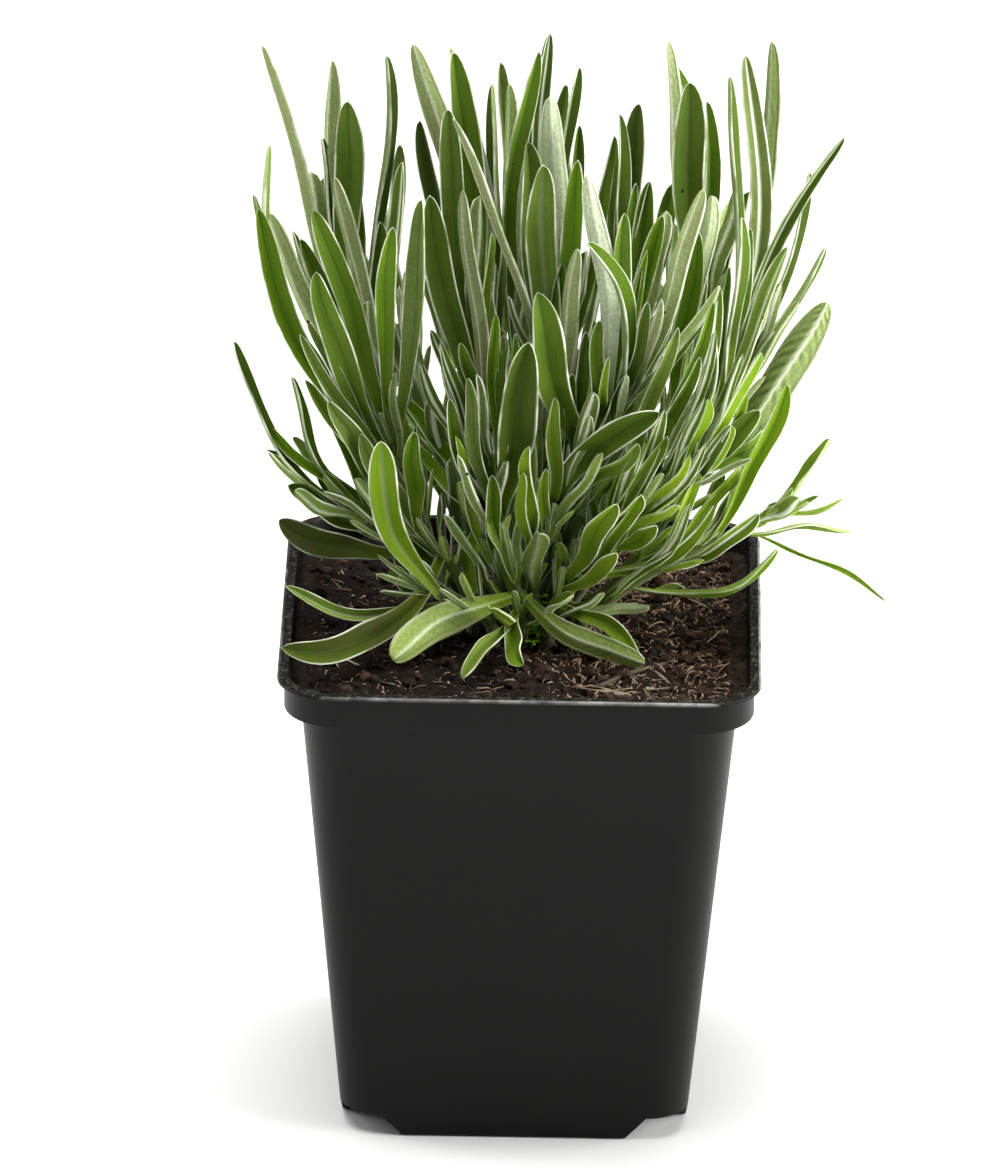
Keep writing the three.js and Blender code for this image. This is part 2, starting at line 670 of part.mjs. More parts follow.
const pot = makePot();
const soil = makeSoil(SHOOTS.map((shoot) => shoot.foot));
const lavender = new THREE.Group();
lavender.add(mesh("pot", pot, plastic), mesh("soil", soil, compost));
growShoots([pot, soil]).forEach((made, i) => {
  const foliage = new THREE.MeshStandardMaterial({ color: 0x5f7d3f, roughness: 0.6, metalness: 0 });
  lavender.add(mesh("shoot_" + SHOOTS[i].name, made, foliage));
});

export default lavender;
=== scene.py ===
import math
from collections import namedtuple
from functools import partial

import bmesh
import bpy
import numpy as np
from bpy.props import FloatProperty, FloatVectorProperty, IntProperty, PointerProperty
from bpy.types import Node, NodeSocket, Operator, Panel, PropertyGroup
from mathutils import Euler, Matrix, Vector
from mathutils.bvhtree import BVHTree


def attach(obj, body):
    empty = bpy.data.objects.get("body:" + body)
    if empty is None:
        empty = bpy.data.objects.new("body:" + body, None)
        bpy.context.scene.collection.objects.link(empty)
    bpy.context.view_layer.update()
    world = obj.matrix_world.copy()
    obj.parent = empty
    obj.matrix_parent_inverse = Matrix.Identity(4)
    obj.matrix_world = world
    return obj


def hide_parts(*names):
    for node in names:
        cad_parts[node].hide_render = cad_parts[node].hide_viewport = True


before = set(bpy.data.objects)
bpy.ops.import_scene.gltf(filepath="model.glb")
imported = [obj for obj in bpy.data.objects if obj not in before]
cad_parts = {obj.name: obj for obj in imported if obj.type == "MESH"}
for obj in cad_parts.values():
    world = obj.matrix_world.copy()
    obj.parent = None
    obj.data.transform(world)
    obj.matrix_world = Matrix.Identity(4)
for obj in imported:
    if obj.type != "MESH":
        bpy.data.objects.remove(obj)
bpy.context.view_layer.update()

bl_info = {
    "name": "Potted lavender",
    "version": (1, 0, 0),
    "blender": (4, 5, 0),
    "location": "3D View > Sidebar > Lavender",
    "description": "Builds the looks of a young lavender in a square nursery pot",
    "category": "Object",
}

MM = 0.001


def linear(code):
    """A colour written as sRGB hex, as linear red, green and blue."""
    parts = [int(code[i : i + 2], 16) / 255 for i in (1, 3, 5)]
    return tuple(p / 12.92 if p <= 0.04045 else ((p + 0.055) / 1.055) ** 2.4 for p in parts)


def length(label, millimetres, about):
    """A size that the sidebar shows, given in millimetres."""
    return FloatProperty(
        name=label, description=about, default=millimetres * MM, min=0.0, precision=5, unit="LENGTH"
    )


def colour(label, code, about):
    """A colour that the sidebar shows, given as sRGB hex."""
    return FloatVectorProperty(
        name=label, description=about, default=linear(code), size=3, min=0, max=1, subtype="COLOR"
    )


def scaled(colour, times):
    """A colour so many times as bright."""
    return [part * times for part in colour]


def amount(label, number, about):
    """A number of things that the sidebar shows."""
    return IntProperty(name=label, description=about, default=number, min=0)


def power(label, watts, about):
    """A light's power that the sidebar shows."""
    return FloatProperty(name=label, description=about, default=watts, min=0.0, unit="POWER")


# Sizes and colours


class PotSettings(PropertyGroup):
    lip: length("Lip half-width", 45.0, "From the middle of the pot to the outside of its lip")
    collar: length("Collar half-width", 43.7, "From the middle of the pot to the outside of its collar")
    base: length("Base half-width", 32.5, "From the middle of the pot to the outside of its base")
    wall: length("Wall", 1.0, "Thickness of the moulded wall")
    plastic: colour("Plastic", "#0d0c0b", "The black plastic")
    # The scuff colour also paints the highlight along the lip's outer edge.
    scuff_and_highlight: colour("Scuffs", "#a3a29e", "Where the lip is rubbed pale")
    dust: colour("Dust", "#5d554a", "Dry compost dust")


class CompostSettings(PropertyGroup):
    crumb: length("Crumb", 1.5, "Size of a middling crumb")
    crumbs: amount("Crumbs", 1300, "Places for loose crumbs, fewer filled at the left")
    fibres: amount("Fibres", 5000, "Places for peat fibres, fewer filled at the left")
    # Painted shade and light: the peat's hollows are painted dark and its crumbs brown.
    dark: colour("Dark", "#0e0805", "Moist peat in its hollows")
    brown: colour("Brown", "#48352a", "Moist peat on its crumbs")
    fibre: colour("Fibre", "#6b5848", "Peat fibre")
    pale: colour("Pale fibre", "#a59a80", "Dry fibre and straw")
    grit: colour("Grit", "#cfc8b8", "Sand and perlite")


class LeafSettings(PropertyGroup):
    thickness: length("Thickness", 0.5, "Thickness of a blade 4 mm wide")
    fillings: amount("Narrow leaves", 5, "Narrow leaves that fill a stem")
    tufts: amount("Tufts", 3, "Tufts of small leaves on a stem")
    bright: colour("Bright green", "#658a08", "Upper side of a young leaf")
    olive: colour("Olive", "#465d0c", "Upper side of an old leaf")
    wilted: colour("Wilted", "#5a4a2c", "Where an old leaf turns brown")
    bloom: colour("Bloom", "#838f55", "Upper side under its grey hairs")
    felt: colour("Felt", "#96a26c", "Underside, covered with hairs")
    # Partly painted sheen: the pale of the thickest hairs also stands in for the sheen on them.
    down: colour("Down", "#c4cdb4", "Where the hairs are thickest")
    # Partly painted light: the pale hairs along the rim, painted brighter as rim light. The underside's midrib
    # takes this colour too.
    margin: colour("Margin", "#f6f9e5", "The pale hairs along the rolled edge")
    lime: colour("Lime", "#8aa42a", "Base of a leaf and top of a stem")
    bark: colour("Bark", "#4c412b", "Foot of a stem")
    grain: colour("Grain", "#2b2416", "A grain of compost that lies on a leaf")


class StageSettings(PropertyGroup):
    floor: colour("Floor", "#f6f6f5", "The plain pale floor")
    sky: FloatProperty(
        name="Room", description="Strength of the light from all round", default=0.15, min=0.0
    )
    key: power("Top light", 33.0, "Power of the soft light from above")
    right: power("Right light", 34.0, "Power of the light at the right")
    left: power("Left light", 11.0, "Power of the light at the left")
    distance: length("Camera distance", 2353.0, "From the camera to the middle of the lip")
    lens: FloatProperty(name="Lens", description="Focal length in millimetres", default=385.6, min=1.0)


# Modelling helpers


def clear_selection():
    if bpy.context.object and bpy.context.object.mode != "OBJECT":
        bpy.ops.object.mode_set(mode="OBJECT")
    bpy.ops.object.select_all(action="DESELECT")


def choose(*objects):
    """Selects these objects and nothing else. The first is the active one."""
    clear_selection()
    for o in objects:
        o.select_set(True)
    bpy.context.view_layer.objects.active = objects[0]


def pick(test, kind="verts"):
    """In edit mode, selects the vertices, edges or faces that pass a test, and nothing else."""
    obj = bpy.context.object
    bpy.ops.mesh.select_mode(type={"verts": "VERT", "edges": "EDGE", "faces": "FACE"}[kind])
    bpy.ops.mesh.select_all(action="DESELECT")
    mesh = bmesh.from_edit_mesh(obj.data)
    for item in getattr(mesh, kind):
        item.select_set(bool(test(item)))
    bmesh.update_edit_mesh(obj.data)


def modify(obj, kind, **settings):
    """Adds a modifier with its settings and applies it."""
    choose(obj)
    bpy.ops.object.modifier_add(type=kind)
    modifier = obj.modifiers[-1]
    for name, value in settings.items():
        setattr(modifier, name, value)
    bpy.ops.object.modifier_apply(modifier=modifier.name)


def remove(*objects):
    for o in objects:
        bpy.data.objects.remove(o)


def cut(obj, cutter, operation="DIFFERENCE"):
    """Cuts a solid out of a piece, or keeps what the two share, and removes the solid."""
    modify(obj, "BOOLEAN", operation=operation, object=cutter, solver="EXACT")
    remove(cutter)


def joined(name, copies):
    """Joins copies into one named piece."""
    choose(*copies)
    bpy.ops.object.join()
    obj = bpy.context.object
    obj.name = name
    obj.data.name = name
    return obj


def finished(obj, slot, *nodes, material=None, angle=None):
    """Rides the piece on the body and hides the CAD nodes that it stands for. Its slot, the name of its
    finish, is not used.
    """
    choose(obj)
    if angle is None:
        bpy.ops.object.shade_smooth()
    else:
        bpy.ops.object.shade_smooth_by_angle(angle=math.radians(angle))
    if material is not None:
        obj.data.materials.clear()
        obj.data.materials.append(material)
    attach(obj, "root")
    if nodes:
        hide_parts(*nodes)
    clear_selection()


# Materials


def add(tree, kind, sockets=(), **settings):
    """Adds a node, makes its settings, and fills its sockets with values or links, by name or in order. A
    node stands for its first output. A Map Range takes a value, its old range and its new one, and a Mix
    takes the share of its second colour and its two colours."""
    made = tree.nodes.new("ShaderNode" + kind)
    for name, value in settings.items():
        setattr(made, name, value)
    if isinstance(sockets, dict):
        filled = [(made.inputs[name], value) for name, value in sockets.items()]
    else:
        filled = zip([socket for socket in made.inputs if socket.enabled], sockets)
    for socket, value in filled:
        if isinstance(value, Node):
            value = next(output for output in value.outputs if output.enabled)
        if isinstance(value, NodeSocket):
            tree.links.new(value, socket)
        else:
            socket.default_value = (*value, 1.0) if socket.type == "RGBA" else value
    return made


def surface(name):
    """A new material, the function that adds nodes to it, and the place on the object in metres."""
    material = bpy.data.materials.new(name)
    material.use_nodes = True
    material.node_tree.nodes.clear()
    node = partial(add, material.node_tree)
    return material, node, node("TexCoord").outputs["Object"]


def satin_polypropylene(s):
    """Injection-moulded polypropylene: satin, with a very fine grain from the mould, scuffed pale on the lip,
    with a painted highlight along the lip's outer edge, and dusty with dry compost where it faces up."""
    material, node, place = surface("moulded black polypropylene")
    spot = node("SeparateXYZ", [place])
    facing = node("SeparateXYZ", [node("NewGeometry").outputs["Normal"]])
    # Flow marks from the mould are about 12 mm across, scuffs 1.5 mm and specks of dust 0.6 mm.
    flow = node("TexNoise", {"Vector": place, "Scale": 1 / (12 * MM), "Detail": 3.0})
    scuffs = node("TexNoise", {"Vector": place, "Scale": 1 / (1.5 * MM), "Detail": 4.0, "Roughness": 0.7})
    specks = node("TexNoise", {"Vector": place, "Scale": 1 / (0.6 * MM), "Detail": 3.0, "Roughness": 0.65})
    # The grain of the mould is 0.25 mm.
    grain = node("TexNoise", {"Vector": place, "Scale": 1 / (0.25 * MM), "Detail": 2.0})
    lip = node("MapRange", [spot.outputs["Z"], 94.3 * MM, 94.9 * MM])
    scuffed = node("MapRange", [scuffs, 0.52, 0.72, 0, 0.12])
    rubbed = node("Math", [lip, scuffed], operation="MULTIPLY")
    # Painted highlight: the lip's outer edge is painted as a thin bright line, brightest at the right, in
    # patches of 7 mm.
    sideways = node("Math", [spot.outputs["X"]], operation="ABSOLUTE")
    lengthways = node("Math", [spot.outputs["Y"]], operation="ABSOLUTE")
    out = node("Math", [sideways, lengthways], operation="MAXIMUM")
    painted_highlight_edge = node("MapRange", [out, s.lip - 0.62 * MM, s.lip - 0.3 * MM])
    patches = node("TexNoise", {"Vector": place, "Scale": 1 / (7 * MM), "Detail": 4.0, "Roughness": 0.6})
    highlight_toward_right = node("Math", [spot.outputs["X"], 2.2, patches], operation="MULTIPLY_ADD")
    bright = node("MapRange", [highlight_toward_right, 0.38, 0.66, 0.1, 0.95])
    line = node("Math", [painted_highlight_edge, bright], operation="MULTIPLY")
    lined = node("Math", [line, lip], operation="MULTIPLY")
    upward = node("MapRange", [facing.outputs["Z"], 0.35, 0.9])
    speckled = node("MapRange", [specks, 0.56, 0.66])
    dusty = node("Math", [upward, speckled], operation="MULTIPLY")
    tint = node("Mix", [flow, scaled(s.plastic, 0.8), scaled(s.plastic, 1.25)], data_type="RGBA")
    # The real scuffs and the painted highlight on the lip's edge share the scuff colour.
    scuffs_and_highlight = node("Math", [rubbed, lined], operation="MAXIMUM")
    worn = node("Mix", [scuffs_and_highlight, tint, s.scuff_and_highlight], data_type="RGBA")
    dirty = node("Mix", [dusty, worn, s.dust], data_type="RGBA")
    gloss = node("MapRange", [flow, 0, 1, 0.4, 0.48])
    rough = node("Math", [gloss, dusty], operation="ADD", use_clamp=True)
    bump = node("Bump", {"Height": grain, "Strength": 0.12, "Distance": 0.03 * MM})
    shader = node("BsdfPrincipled", {
        "Base Color": dirty, "Roughness": rough, "Normal": bump, "IOR": 1.49, "Specular IOR Level": 0.1,
        "Coat Weight": 0.12, "Coat Roughness": 0.3, "Coat IOR": 1.3,
    })
    node("OutputMaterial", [shader])
    return material


def moist_peat(s):
    """Moist potting compost: dark, dull peat with the odd damp glint. Painted light and shade: it is painted
    near black in its hollows and brown on its crumbs."""
    material, node, place = surface("moist peat compost")
    tone = node("SeparateColor", [node("Attribute", attribute_name="tone")])
    # Patches are 9 mm across, crumbs 1.4 mm and the finest grains 0.35 mm.
    patch = node("TexNoise", {"Vector": place, "Scale": 1 / (9 * MM), "Detail": 2.0})
    crumb = node("TexNoise", {"Vector": place, "Scale": 1 / (1.4 * MM), "Detail": 5.0, "Roughness": 0.65})
    grain = node("TexVoronoi", {"Vector": place, "Scale": 1 / (0.35 * MM)})
    # Painted light and shade: brown where the crumbs stand up, near black in the hollows between them.
    lit = node("MapRange", [crumb, 0.4, 0.72])
    # It is browner towards the right.
    sideways = node("SeparateXYZ", [place]).outputs["X"]
    browner_at_right = node("MapRange", [sideways, -10 * MM, 20 * MM, 0.5, 1.7])
    spread = node("Math", [lit, browner_at_right], operation="MULTIPLY")
    share = node("Math", [spread, patch], operation="MULTIPLY")
    toned = node("Math", [share, tone.outputs["Red"]], operation="ADD", use_clamp=True)
    brown = node("Mix", [toned, s.dark, s.brown], data_type="RGBA")
    flake = node("Math", [grain.outputs["Color"], 0.93], operation="GREATER_THAN")
    faint = node("Math", [flake, 0.35], operation="MULTIPLY")
    speckled = node("Mix", [faint, brown, s.fibre], data_type="RGBA")
    rough = node("MapRange", [crumb, 0, 1, 0.7, 1.0])
    bump = node("Bump", {"Height": crumb, "Strength": 0.9, "Distance": 0.5 * MM})
    fine = node("Bump", {
        "Height": grain.outputs["Distance"], "Strength": 0.6, "Distance": 0.12 * MM, "Normal": bump,
    })
    shader = node("BsdfPrincipled", {
        "Base Color": speckled, "Roughness": rough, "Normal": fine, "Specular IOR Level": 0.15,
    })
    node("OutputMaterial", [shader])
    return material


def dry_fibre(name, dark, pale, rough):
    """A strand of plant matter: dull, darker along some fibres, each strand with a tone of its own."""
    material, node, place = surface(name)
    tone = node("SeparateColor", [node("Attribute", attribute_name="tone")])
    # The strand's own fibres are 0.2 mm across.
    grain = node("TexNoise", {"Vector": place, "Scale": 1 / (0.2 * MM), "Detail": 3.0})
    mottle = node("MapRange", [grain, 0, 1, -0.3, 0.3])
    share = node("Math", [tone.outputs["Red"], mottle], operation="ADD", use_clamp=True)
    body = node("Mix", [share, dark, pale], data_type="RGBA")
    bump = node("Bump", {"Height": grain, "Strength": 0.5, "Distance": 0.06 * MM})
    shader = node("BsdfPrincipled", {
        "Base Color": body, "Roughness": rough, "Normal": bump, "Specular IOR Level": 0.3,
    })
    node("OutputMaterial", [shader])
    return material


def perlite(s):
    """Expanded perlite and sand: chalky white grains, pitted and stained by the peat."""
    material, node, place = surface("perlite grit")
    # Its pits are 0.15 mm.
    pits = node("TexNoise", {"Vector": place, "Scale": 1 / (0.15 * MM), "Detail": 3.0})
    stained = node("MapRange", [pits, 0.3, 0.7])
    body = node("Mix", [stained, s.fibre, s.grit], data_type="RGBA")
    bump = node("Bump", {"Height": pits, "Strength": 0.6, "Distance": 0.08 * MM})
    shader = node("BsdfPrincipled", {"Base Color": body, "Roughness": 0.8, "Normal": bump})
    node("OutputMaterial", [shader])
    return material


def seedling_leaf(s):
    """A seedling's first leaves: thin, smooth and a wet, bright green."""
    material, node, place = surface("seedling leaf")
    # Veins and folds are about 0.5 mm.
    veins = node("TexNoise", {"Vector": place, "Scale": 1 / (0.5 * MM), "Detail": 2.0})
    body = node("Mix", [veins, scaled(s.bright, 0.6), scaled(s.bright, 1.6)], data_type="RGBA")
    bump = node("Bump", {"Height": veins, "Strength": 0.3, "Distance": 0.1 * MM})
    shader = node("BsdfPrincipled", {
        "Base Color": body, "Roughness": 0.4, "Normal": bump, "Specular IOR Level": 0.4,
    })
    node("OutputMaterial", [shader])
    return material


def lavender_leaf(s):
    """A living lavender leaf: green above under a thin bloom of grey hairs, felted pale below, with a groove
    along the middle, painted darker as painted shade, and a rim of pale hairs along the rolled edge, painted
    brighter as painted rim light. The base is lime-yellow and the foot painted darker as painted shade."""
    material, node, place = surface("lavender leaf")
    across_along = place.node.outputs["UV"]
    leaf = node("SeparateXYZ", [across_along])
    toned = node("Attribute", attribute_name="tone")
    tone = node("SeparateColor", [toned])
    under = node("Attribute", attribute_name="under").outputs["Fac"]
    # From the midrib, at 0, to the edges, at 1.
    doubled = node("Math", [leaf.outputs["X"], 2.0, -1.0], operation="MULTIPLY_ADD")
    outward = node("Math", [doubled], operation="ABSOLUTE")
    # The rim is 0.1 of the width, and broader on a leaf that is striped.
    striped = node("Attribute", attribute_name="striped").outputs["Fac"]
    inside = node("MapRange", [striped, 0, 1, 0.67, 0.54])
    edge = node("MapRange", [outward, inside, 0.93], interpolation_type="SMOOTHSTEP")
    tip = node("MapRange", [leaf.outputs["Y"], 0.965, 1.0], interpolation_type="SMOOTHSTEP")
    rim = node("Math", [edge, tip], operation="MAXIMUM")
    groove = node("MapRange", [outward, 0.0, 0.3, 1.0, 0.0], interpolation_type="SMOOTHSTEP")
    # Ribs run along the blade. The hairs are 0.05 mm and drawn at 0.6 mm, so that the render shows them.
    stretched = node("Mapping", {"Vector": across_along, "Scale": (9.0, 1.3, 1.0)})
    ribs = node("TexNoise", {"Vector": stretched, "Scale": 1.6, "Detail": 3.0, "Roughness": 0.6})
    hairs = node("TexNoise", {"Vector": place, "Scale": 1 / (0.6 * MM), "Detail": 4.0, "Roughness": 0.7})
    mottle = node("TexNoise", {"Vector": place, "Scale": 1 / (3.5 * MM), "Detail": 3.0})
    # Grains of compost, 0.7 mm, lie on a few leaves.
    dirt = node("TexVoronoi", {"Vector": place, "Scale": 1 / (5 * MM)})
    near = node("Math", [dirt.outputs["Distance"], 0.07], operation="LESS_THAN")
    some = node("Math", [dirt.outputs["Color"], 0.72], operation="GREATER_THAN")
    grains = node("Math", [near, some], operation="MULTIPLY")
    aged = node("Mix", [tone.outputs["Red"], s.bright, s.olive], data_type="RGBA")
    # An old leaf browns in blotches.
    wilting = node("MapRange", [tone.outputs["Red"], 1.0, 1.4])
    blotch = node("MapRange", [mottle, 0.42, 0.58, 0.2])
    browned = node("Math", [wilting, blotch], operation="MULTIPLY")
    green = node("Mix", [browned, aged, s.wilted], data_type="RGBA")
    veiled = node("MapRange", [mottle, 0.3, 0.7, 0.55, 1.0])
    bloom = node("Math", [tone.outputs["Green"], veiled], operation="MULTIPLY")
    upper = node("Mix", [bloom, green, s.bloom], data_type="RGBA")
    # Painted shade: the groove along the midrib is painted darker.
    sunk = node("Math", [groove, 0.25], operation="MULTIPLY")
    groove_shaded = node("Mix", [sunk, upper, scaled(s.olive, 0.55)], data_type="RGBA")
    ribbed = node("Math", [groove, 0.6], operation="MULTIPLY")
    # The felt below is thin on leaves that have little bloom above.
    thin = node("MapRange", [tone.outputs["Green"], 0.0, 0.8, 0.62, 0.0])
    felted = node("Mix", [thin, s.felt, green], data_type="RGBA")
    below = node("Mix", [ribbed, felted, s.margin], data_type="RGBA")
    sides = node("Mix", [under, groove_shaded, below], data_type="RGBA")
    # Where the hairs are thickest the leaf is painted silver, for their own pale colour and as painted sheen.
    thick = node("MapRange", [tone.outputs["Green"], 0.85, 1.4, 0, 0.8])
    down_and_sheen = node("Mix", [thick, sides, s.down], data_type="RGBA")
    young = node("MapRange", [leaf.outputs["Y"], 0.0, 0.36, 0.75, 0.0], interpolation_type="SMOOTHSTEP")
    limed = node("Math", [young, toned.outputs["Alpha"]], operation="ADD", use_clamp=True)
    based = node("Mix", [limed, down_and_sheen, s.lime], data_type="RGBA")
    streak = node("MapRange", [ribs, 0.25, 0.75, 0.8, 1.2])
    # The hairier the side, the more its grain shows.
    hairy = node("Math", [bloom, under], operation="MAXIMUM")
    least = node("Math", [hairy, -0.1, 0.88], operation="MULTIPLY_ADD")
    most = node("Math", [hairy, 0.14, 1.12], operation="MULTIPLY_ADD")
    downy = node("MapRange", [hairs, 0.3, 0.7, least, most])
    # Side veins leave the midrib below in a herringbone, 2 mm apart on a long leaf.
    slant = node("Math", [outward, 2.4], operation="MULTIPLY")
    herring = node("Math", [leaf.outputs["Y"], 15.0, slant], operation="MULTIPLY_ADD")
    wave = node("Math", [node("Math", [herring, math.tau], operation="MULTIPLY")], operation="SINE")
    patchy = node("MapRange", [mottle, 0.4, 0.62])
    faint = node("Math", [patchy, under], operation="MULTIPLY")
    veins = node("Math", [wave, faint], operation="MULTIPLY")
    strong = node("MapRange", [striped, 1.0, 1.6, 0.06, 0.42])
    veined = node("Math", [veins, strong, 1.0], operation="MULTIPLY_ADD")
    # Painted shade: the foot of a leaf is painted darker than its tip.
    foot = node("MapRange", [leaf.outputs["Y"], 0.1, 0.65, 0.86, 1.0])
    patterned = node("Math", [streak, veined], operation="MULTIPLY")
    foot_shaded = node("Math", [patterned, foot], operation="MULTIPLY")
    lively = node("Math", [foot_shaded, downy], operation="MULTIPLY")
    # Painted light and shade: the tone's third value sets how lit each leaf is painted.
    shade = node("Math", [lively, tone.outputs["Blue"]], operation="MULTIPLY")
    shaded = node("VectorMath", [based, shade], operation="SCALE")
    # Below, the rolled edge lies in the same felt, so the rim hardly shows there.
    even = node("Math", [under, -0.8, 0.95], operation="MULTIPLY_ADD")
    # A wilted leaf has lost most of the hairs on its rim.
    fresh = node("Math", [wilting, -0.9, 1.0], operation="MULTIPLY_ADD")
    share = node("Math", [even, fresh], operation="MULTIPLY")
    # The hairs of the rim are rubbed off here and there, over some 6 mm.
    worn = node("TexNoise", {"Vector": place, "Scale": 1 / (6 * MM), "Detail": 1.0})
    kept = node("MapRange", [worn, 0.38, 0.6, 0.3, 1.0])
    thinned = node("Math", [rim, kept], operation="MULTIPLY")
    pale = node("Math", [thinned, share], operation="MULTIPLY")
    # The rim is dimmed with the same painted shade.
    dimmed = node("MapRange", [shade, 0.3, 0.8, 0.6, 1.2])
    bright = node("VectorMath", [tuple(s.margin), dimmed], operation="SCALE")
    # Partly painted light: the rim of pale hairs is painted brighter, as rim light.
    rimmed = node("Mix", [pale, shaded, bright], data_type="RGBA")
    # Some leaves have a pale stripe of hairs along the midrib.
    middle = node("MapRange", [outward, 0.1, 0.3, 0.85, 0.0], interpolation_type="SMOOTHSTEP")
    stripe = node("Math", [middle, striped], operation="MULTIPLY", use_clamp=True)
    # Where the underside is ribbed, the midrib is as bare as the side veins.
    bare = node("MapRange", [striped, 1.0, 1.6, 1.0, 0.45])
    midrib = node("Math", [stripe, bare], operation="MULTIPLY")
    lined = node("Mix", [midrib, rimmed, bright], data_type="RGBA")
    specked = node("Mix", [grains, lined, s.grain], data_type="RGBA")
    rough = node("MapRange", [under, 0, 1, 0.5, 0.85])
    ridged = node("Math", [veins, 0.35, hairs], operation="MULTIPLY_ADD")
    relief = node("Math", [ribs, 1.6, ridged], operation="MULTIPLY_ADD")
    bump = node("Bump", {"Height": relief, "Strength": 0.55, "Distance": 0.12 * MM})
    shader = node("BsdfPrincipled", {
        "Base Color": specked, "Roughness": rough, "Normal": bump, "Specular IOR Level": 0.12,
        "Subsurface Weight": 0.25, "Subsurface Radius": (0.8, 1.0, 0.25), "Subsurface Scale": 0.5 * MM,
        "Sheen Weight": 0.03, "Sheen Roughness": 0.5,
    })
    node("OutputMaterial", [shader])
    return material


def lavender_stem(s):
    """A young lavender stem: lime-green and downy at the top, brown bark at the foot."""
    material, node, place = surface("lavender stem")
    along = node("Attribute", attribute_name="along").outputs["Fac"]
    # The ridges of the stem are 0.4 mm across, and the bark flakes at 1.2 mm.
    down = node("TexNoise", {"Vector": place, "Scale": 1 / (0.4 * MM), "Detail": 3.0})
    flakes = node("TexNoise", {"Vector": place, "Scale": 1 / (1.2 * MM), "Detail": 3.0})
    uneven = node("Math", [flakes, 0.3, along], operation="MULTIPLY_ADD")
    green = node("MapRange", [uneven, 0.3, 0.62], interpolation_type="SMOOTHSTEP")
    ridged = node("MapRange", [down, 0, 1, 0.65, 1.2])
    body = node("Mix", [green, s.bark, scaled(s.lime, 0.35)], data_type="RGBA")
    shaded = node("VectorMath", [body, ridged], operation="SCALE")
    bump = node("Bump", {"Height": down, "Strength": 0.6, "Distance": 0.15 * MM})
    shader = node("BsdfPrincipled", {
        "Base Color": shaded, "Roughness": 0.65, "Normal": bump, "Sheen Weight": 0.2,
        "Sheen Roughness": 0.5,
    })
    node("OutputMaterial", [shader])
    return material


def matt_card(s):
    """The studio floor: matt pale card."""
    material, node, place = surface("matt card")
    # Card is even, so its mottle is 60 mm across and very faint.
    mottle = node("TexNoise", {"Vector": place, "Scale": 1 / (60 * MM), "Detail": 2.0})
    shade = node("MapRange", [mottle, 0, 1, 0.99, 1.0])
    even = node("VectorMath", [tuple(s.floor), shade], operation="SCALE")
    shader = node("BsdfPrincipled", {"Base Color": even, "Roughness": 0.9, "Specular IOR Level": 0.1})
    node("OutputMaterial", [shader])
    return material


# Pot


def ring_walk(name, rings, radius, segments):
    """A closed solid that rises through rounded squares, each (half-width, height) in millimetres: a cube
    whose upright edges are bevelled, and whose top face is drawn from ring to ring."""
    clear_selection()
    half, low = rings[0]
    step = rings[1][1] - low
    size = (2 * half * MM, 2 * half * MM, step * MM)
    bpy.ops.mesh.primitive_cube_add(size=1, location=(0, 0, (low + step / 2) * MM), scale=size)
    obj = bpy.context.object
    obj.name = name
    bpy.ops.object.transform_apply(location=True, rotation=False, scale=True)
    bpy.ops.object.mode_set(mode="EDIT")
    pick(lambda e: abs(e.verts[0].co.z - e.verts[1].co.z) > step * MM / 2, "edges")
    bpy.ops.mesh.bevel(offset=radius * MM, segments=segments, affect="EDGES")
    top = low + step
    pick(lambda f: f.calc_center_median().z > (top - 0.01) * MM, "faces")
    wide = rings[1][0]
    bpy.ops.transform.resize(value=(wide / half, wide / half, 1), center_override=(0, 0, top * MM))
    half = wide
    for wide, high in rings[2:]:
        bpy.ops.mesh.extrude_region_move(TRANSFORM_OT_translate={"value": (0, 0, (high - top) * MM)})
        bpy.ops.transform.resize(value=(wide / half, wide / half, 1), center_override=(0, 0, high * MM))
        half, top = wide, high
    bpy.ops.object.mode_set(mode="OBJECT")
    return obj


POT_HEIGHT = 95.0
# Radius of the upright corners and their segments, outside and inside.
OUTER_RADIUS, OUTER_SEGMENTS = 7.8, 14
INNER_RADIUS, INNER_SEGMENTS = 7.2, 12
# The inside steps out to the collar between these heights.
COLLAR_STEP = (88.9, 89.6)
COLLAR_WALL, LIP_WALL = 1.5, 0.6
# Half-width and height of the body's top.
BODY_TOP = (40.6, 88.0)
# What is cut from a corner of the base: how far from the middle it begins at its foot and at its top, its
# height, the radius of its edges and their segments, and how far out it goes.
NOTCH = {"foot": 20.8, "top": 25.0, "height": 4.6, "radius": 4.0, "segments": 6, "far": 15.0}
# Drain holes: radius, place to the side and to the front, and the heights that they run between.
DRAINS = ((3.2, 14.0, -2.0, 3.0), (2.1, 27.2, 2.0, 8.0))
DRAIN_SIDES = 32


def corner_blocks(extra):
    """What is cut from each corner of the base, grown by extra. Its inner sides slant out as they rise."""
    slope = (NOTCH["top"] - NOTCH["foot"]) / NOTCH["height"]
    inner = lambda z: NOTCH["foot"] + slope * z - extra * math.hypot(1, slope)
    reach = inner(0) + NOTCH["far"]
    low, high = -NOTCH["height"], NOTCH["height"] + extra
    rings = [(reach - inner(low), low), (reach - inner(high), high)]
    block = ring_walk("corner", rings, NOTCH["radius"], NOTCH["segments"])
    copies = []
    for x in (1, -1):
        for y in (1, -1):
            copy = block.copy()
            copy.data = block.data.copy()
            bpy.context.collection.objects.link(copy)
            copy.data.transform(Matrix.Translation((x * reach * MM, y * reach * MM, 0)))
            copies.append(copy)
    remove(block)
    return joined("corners", copies)


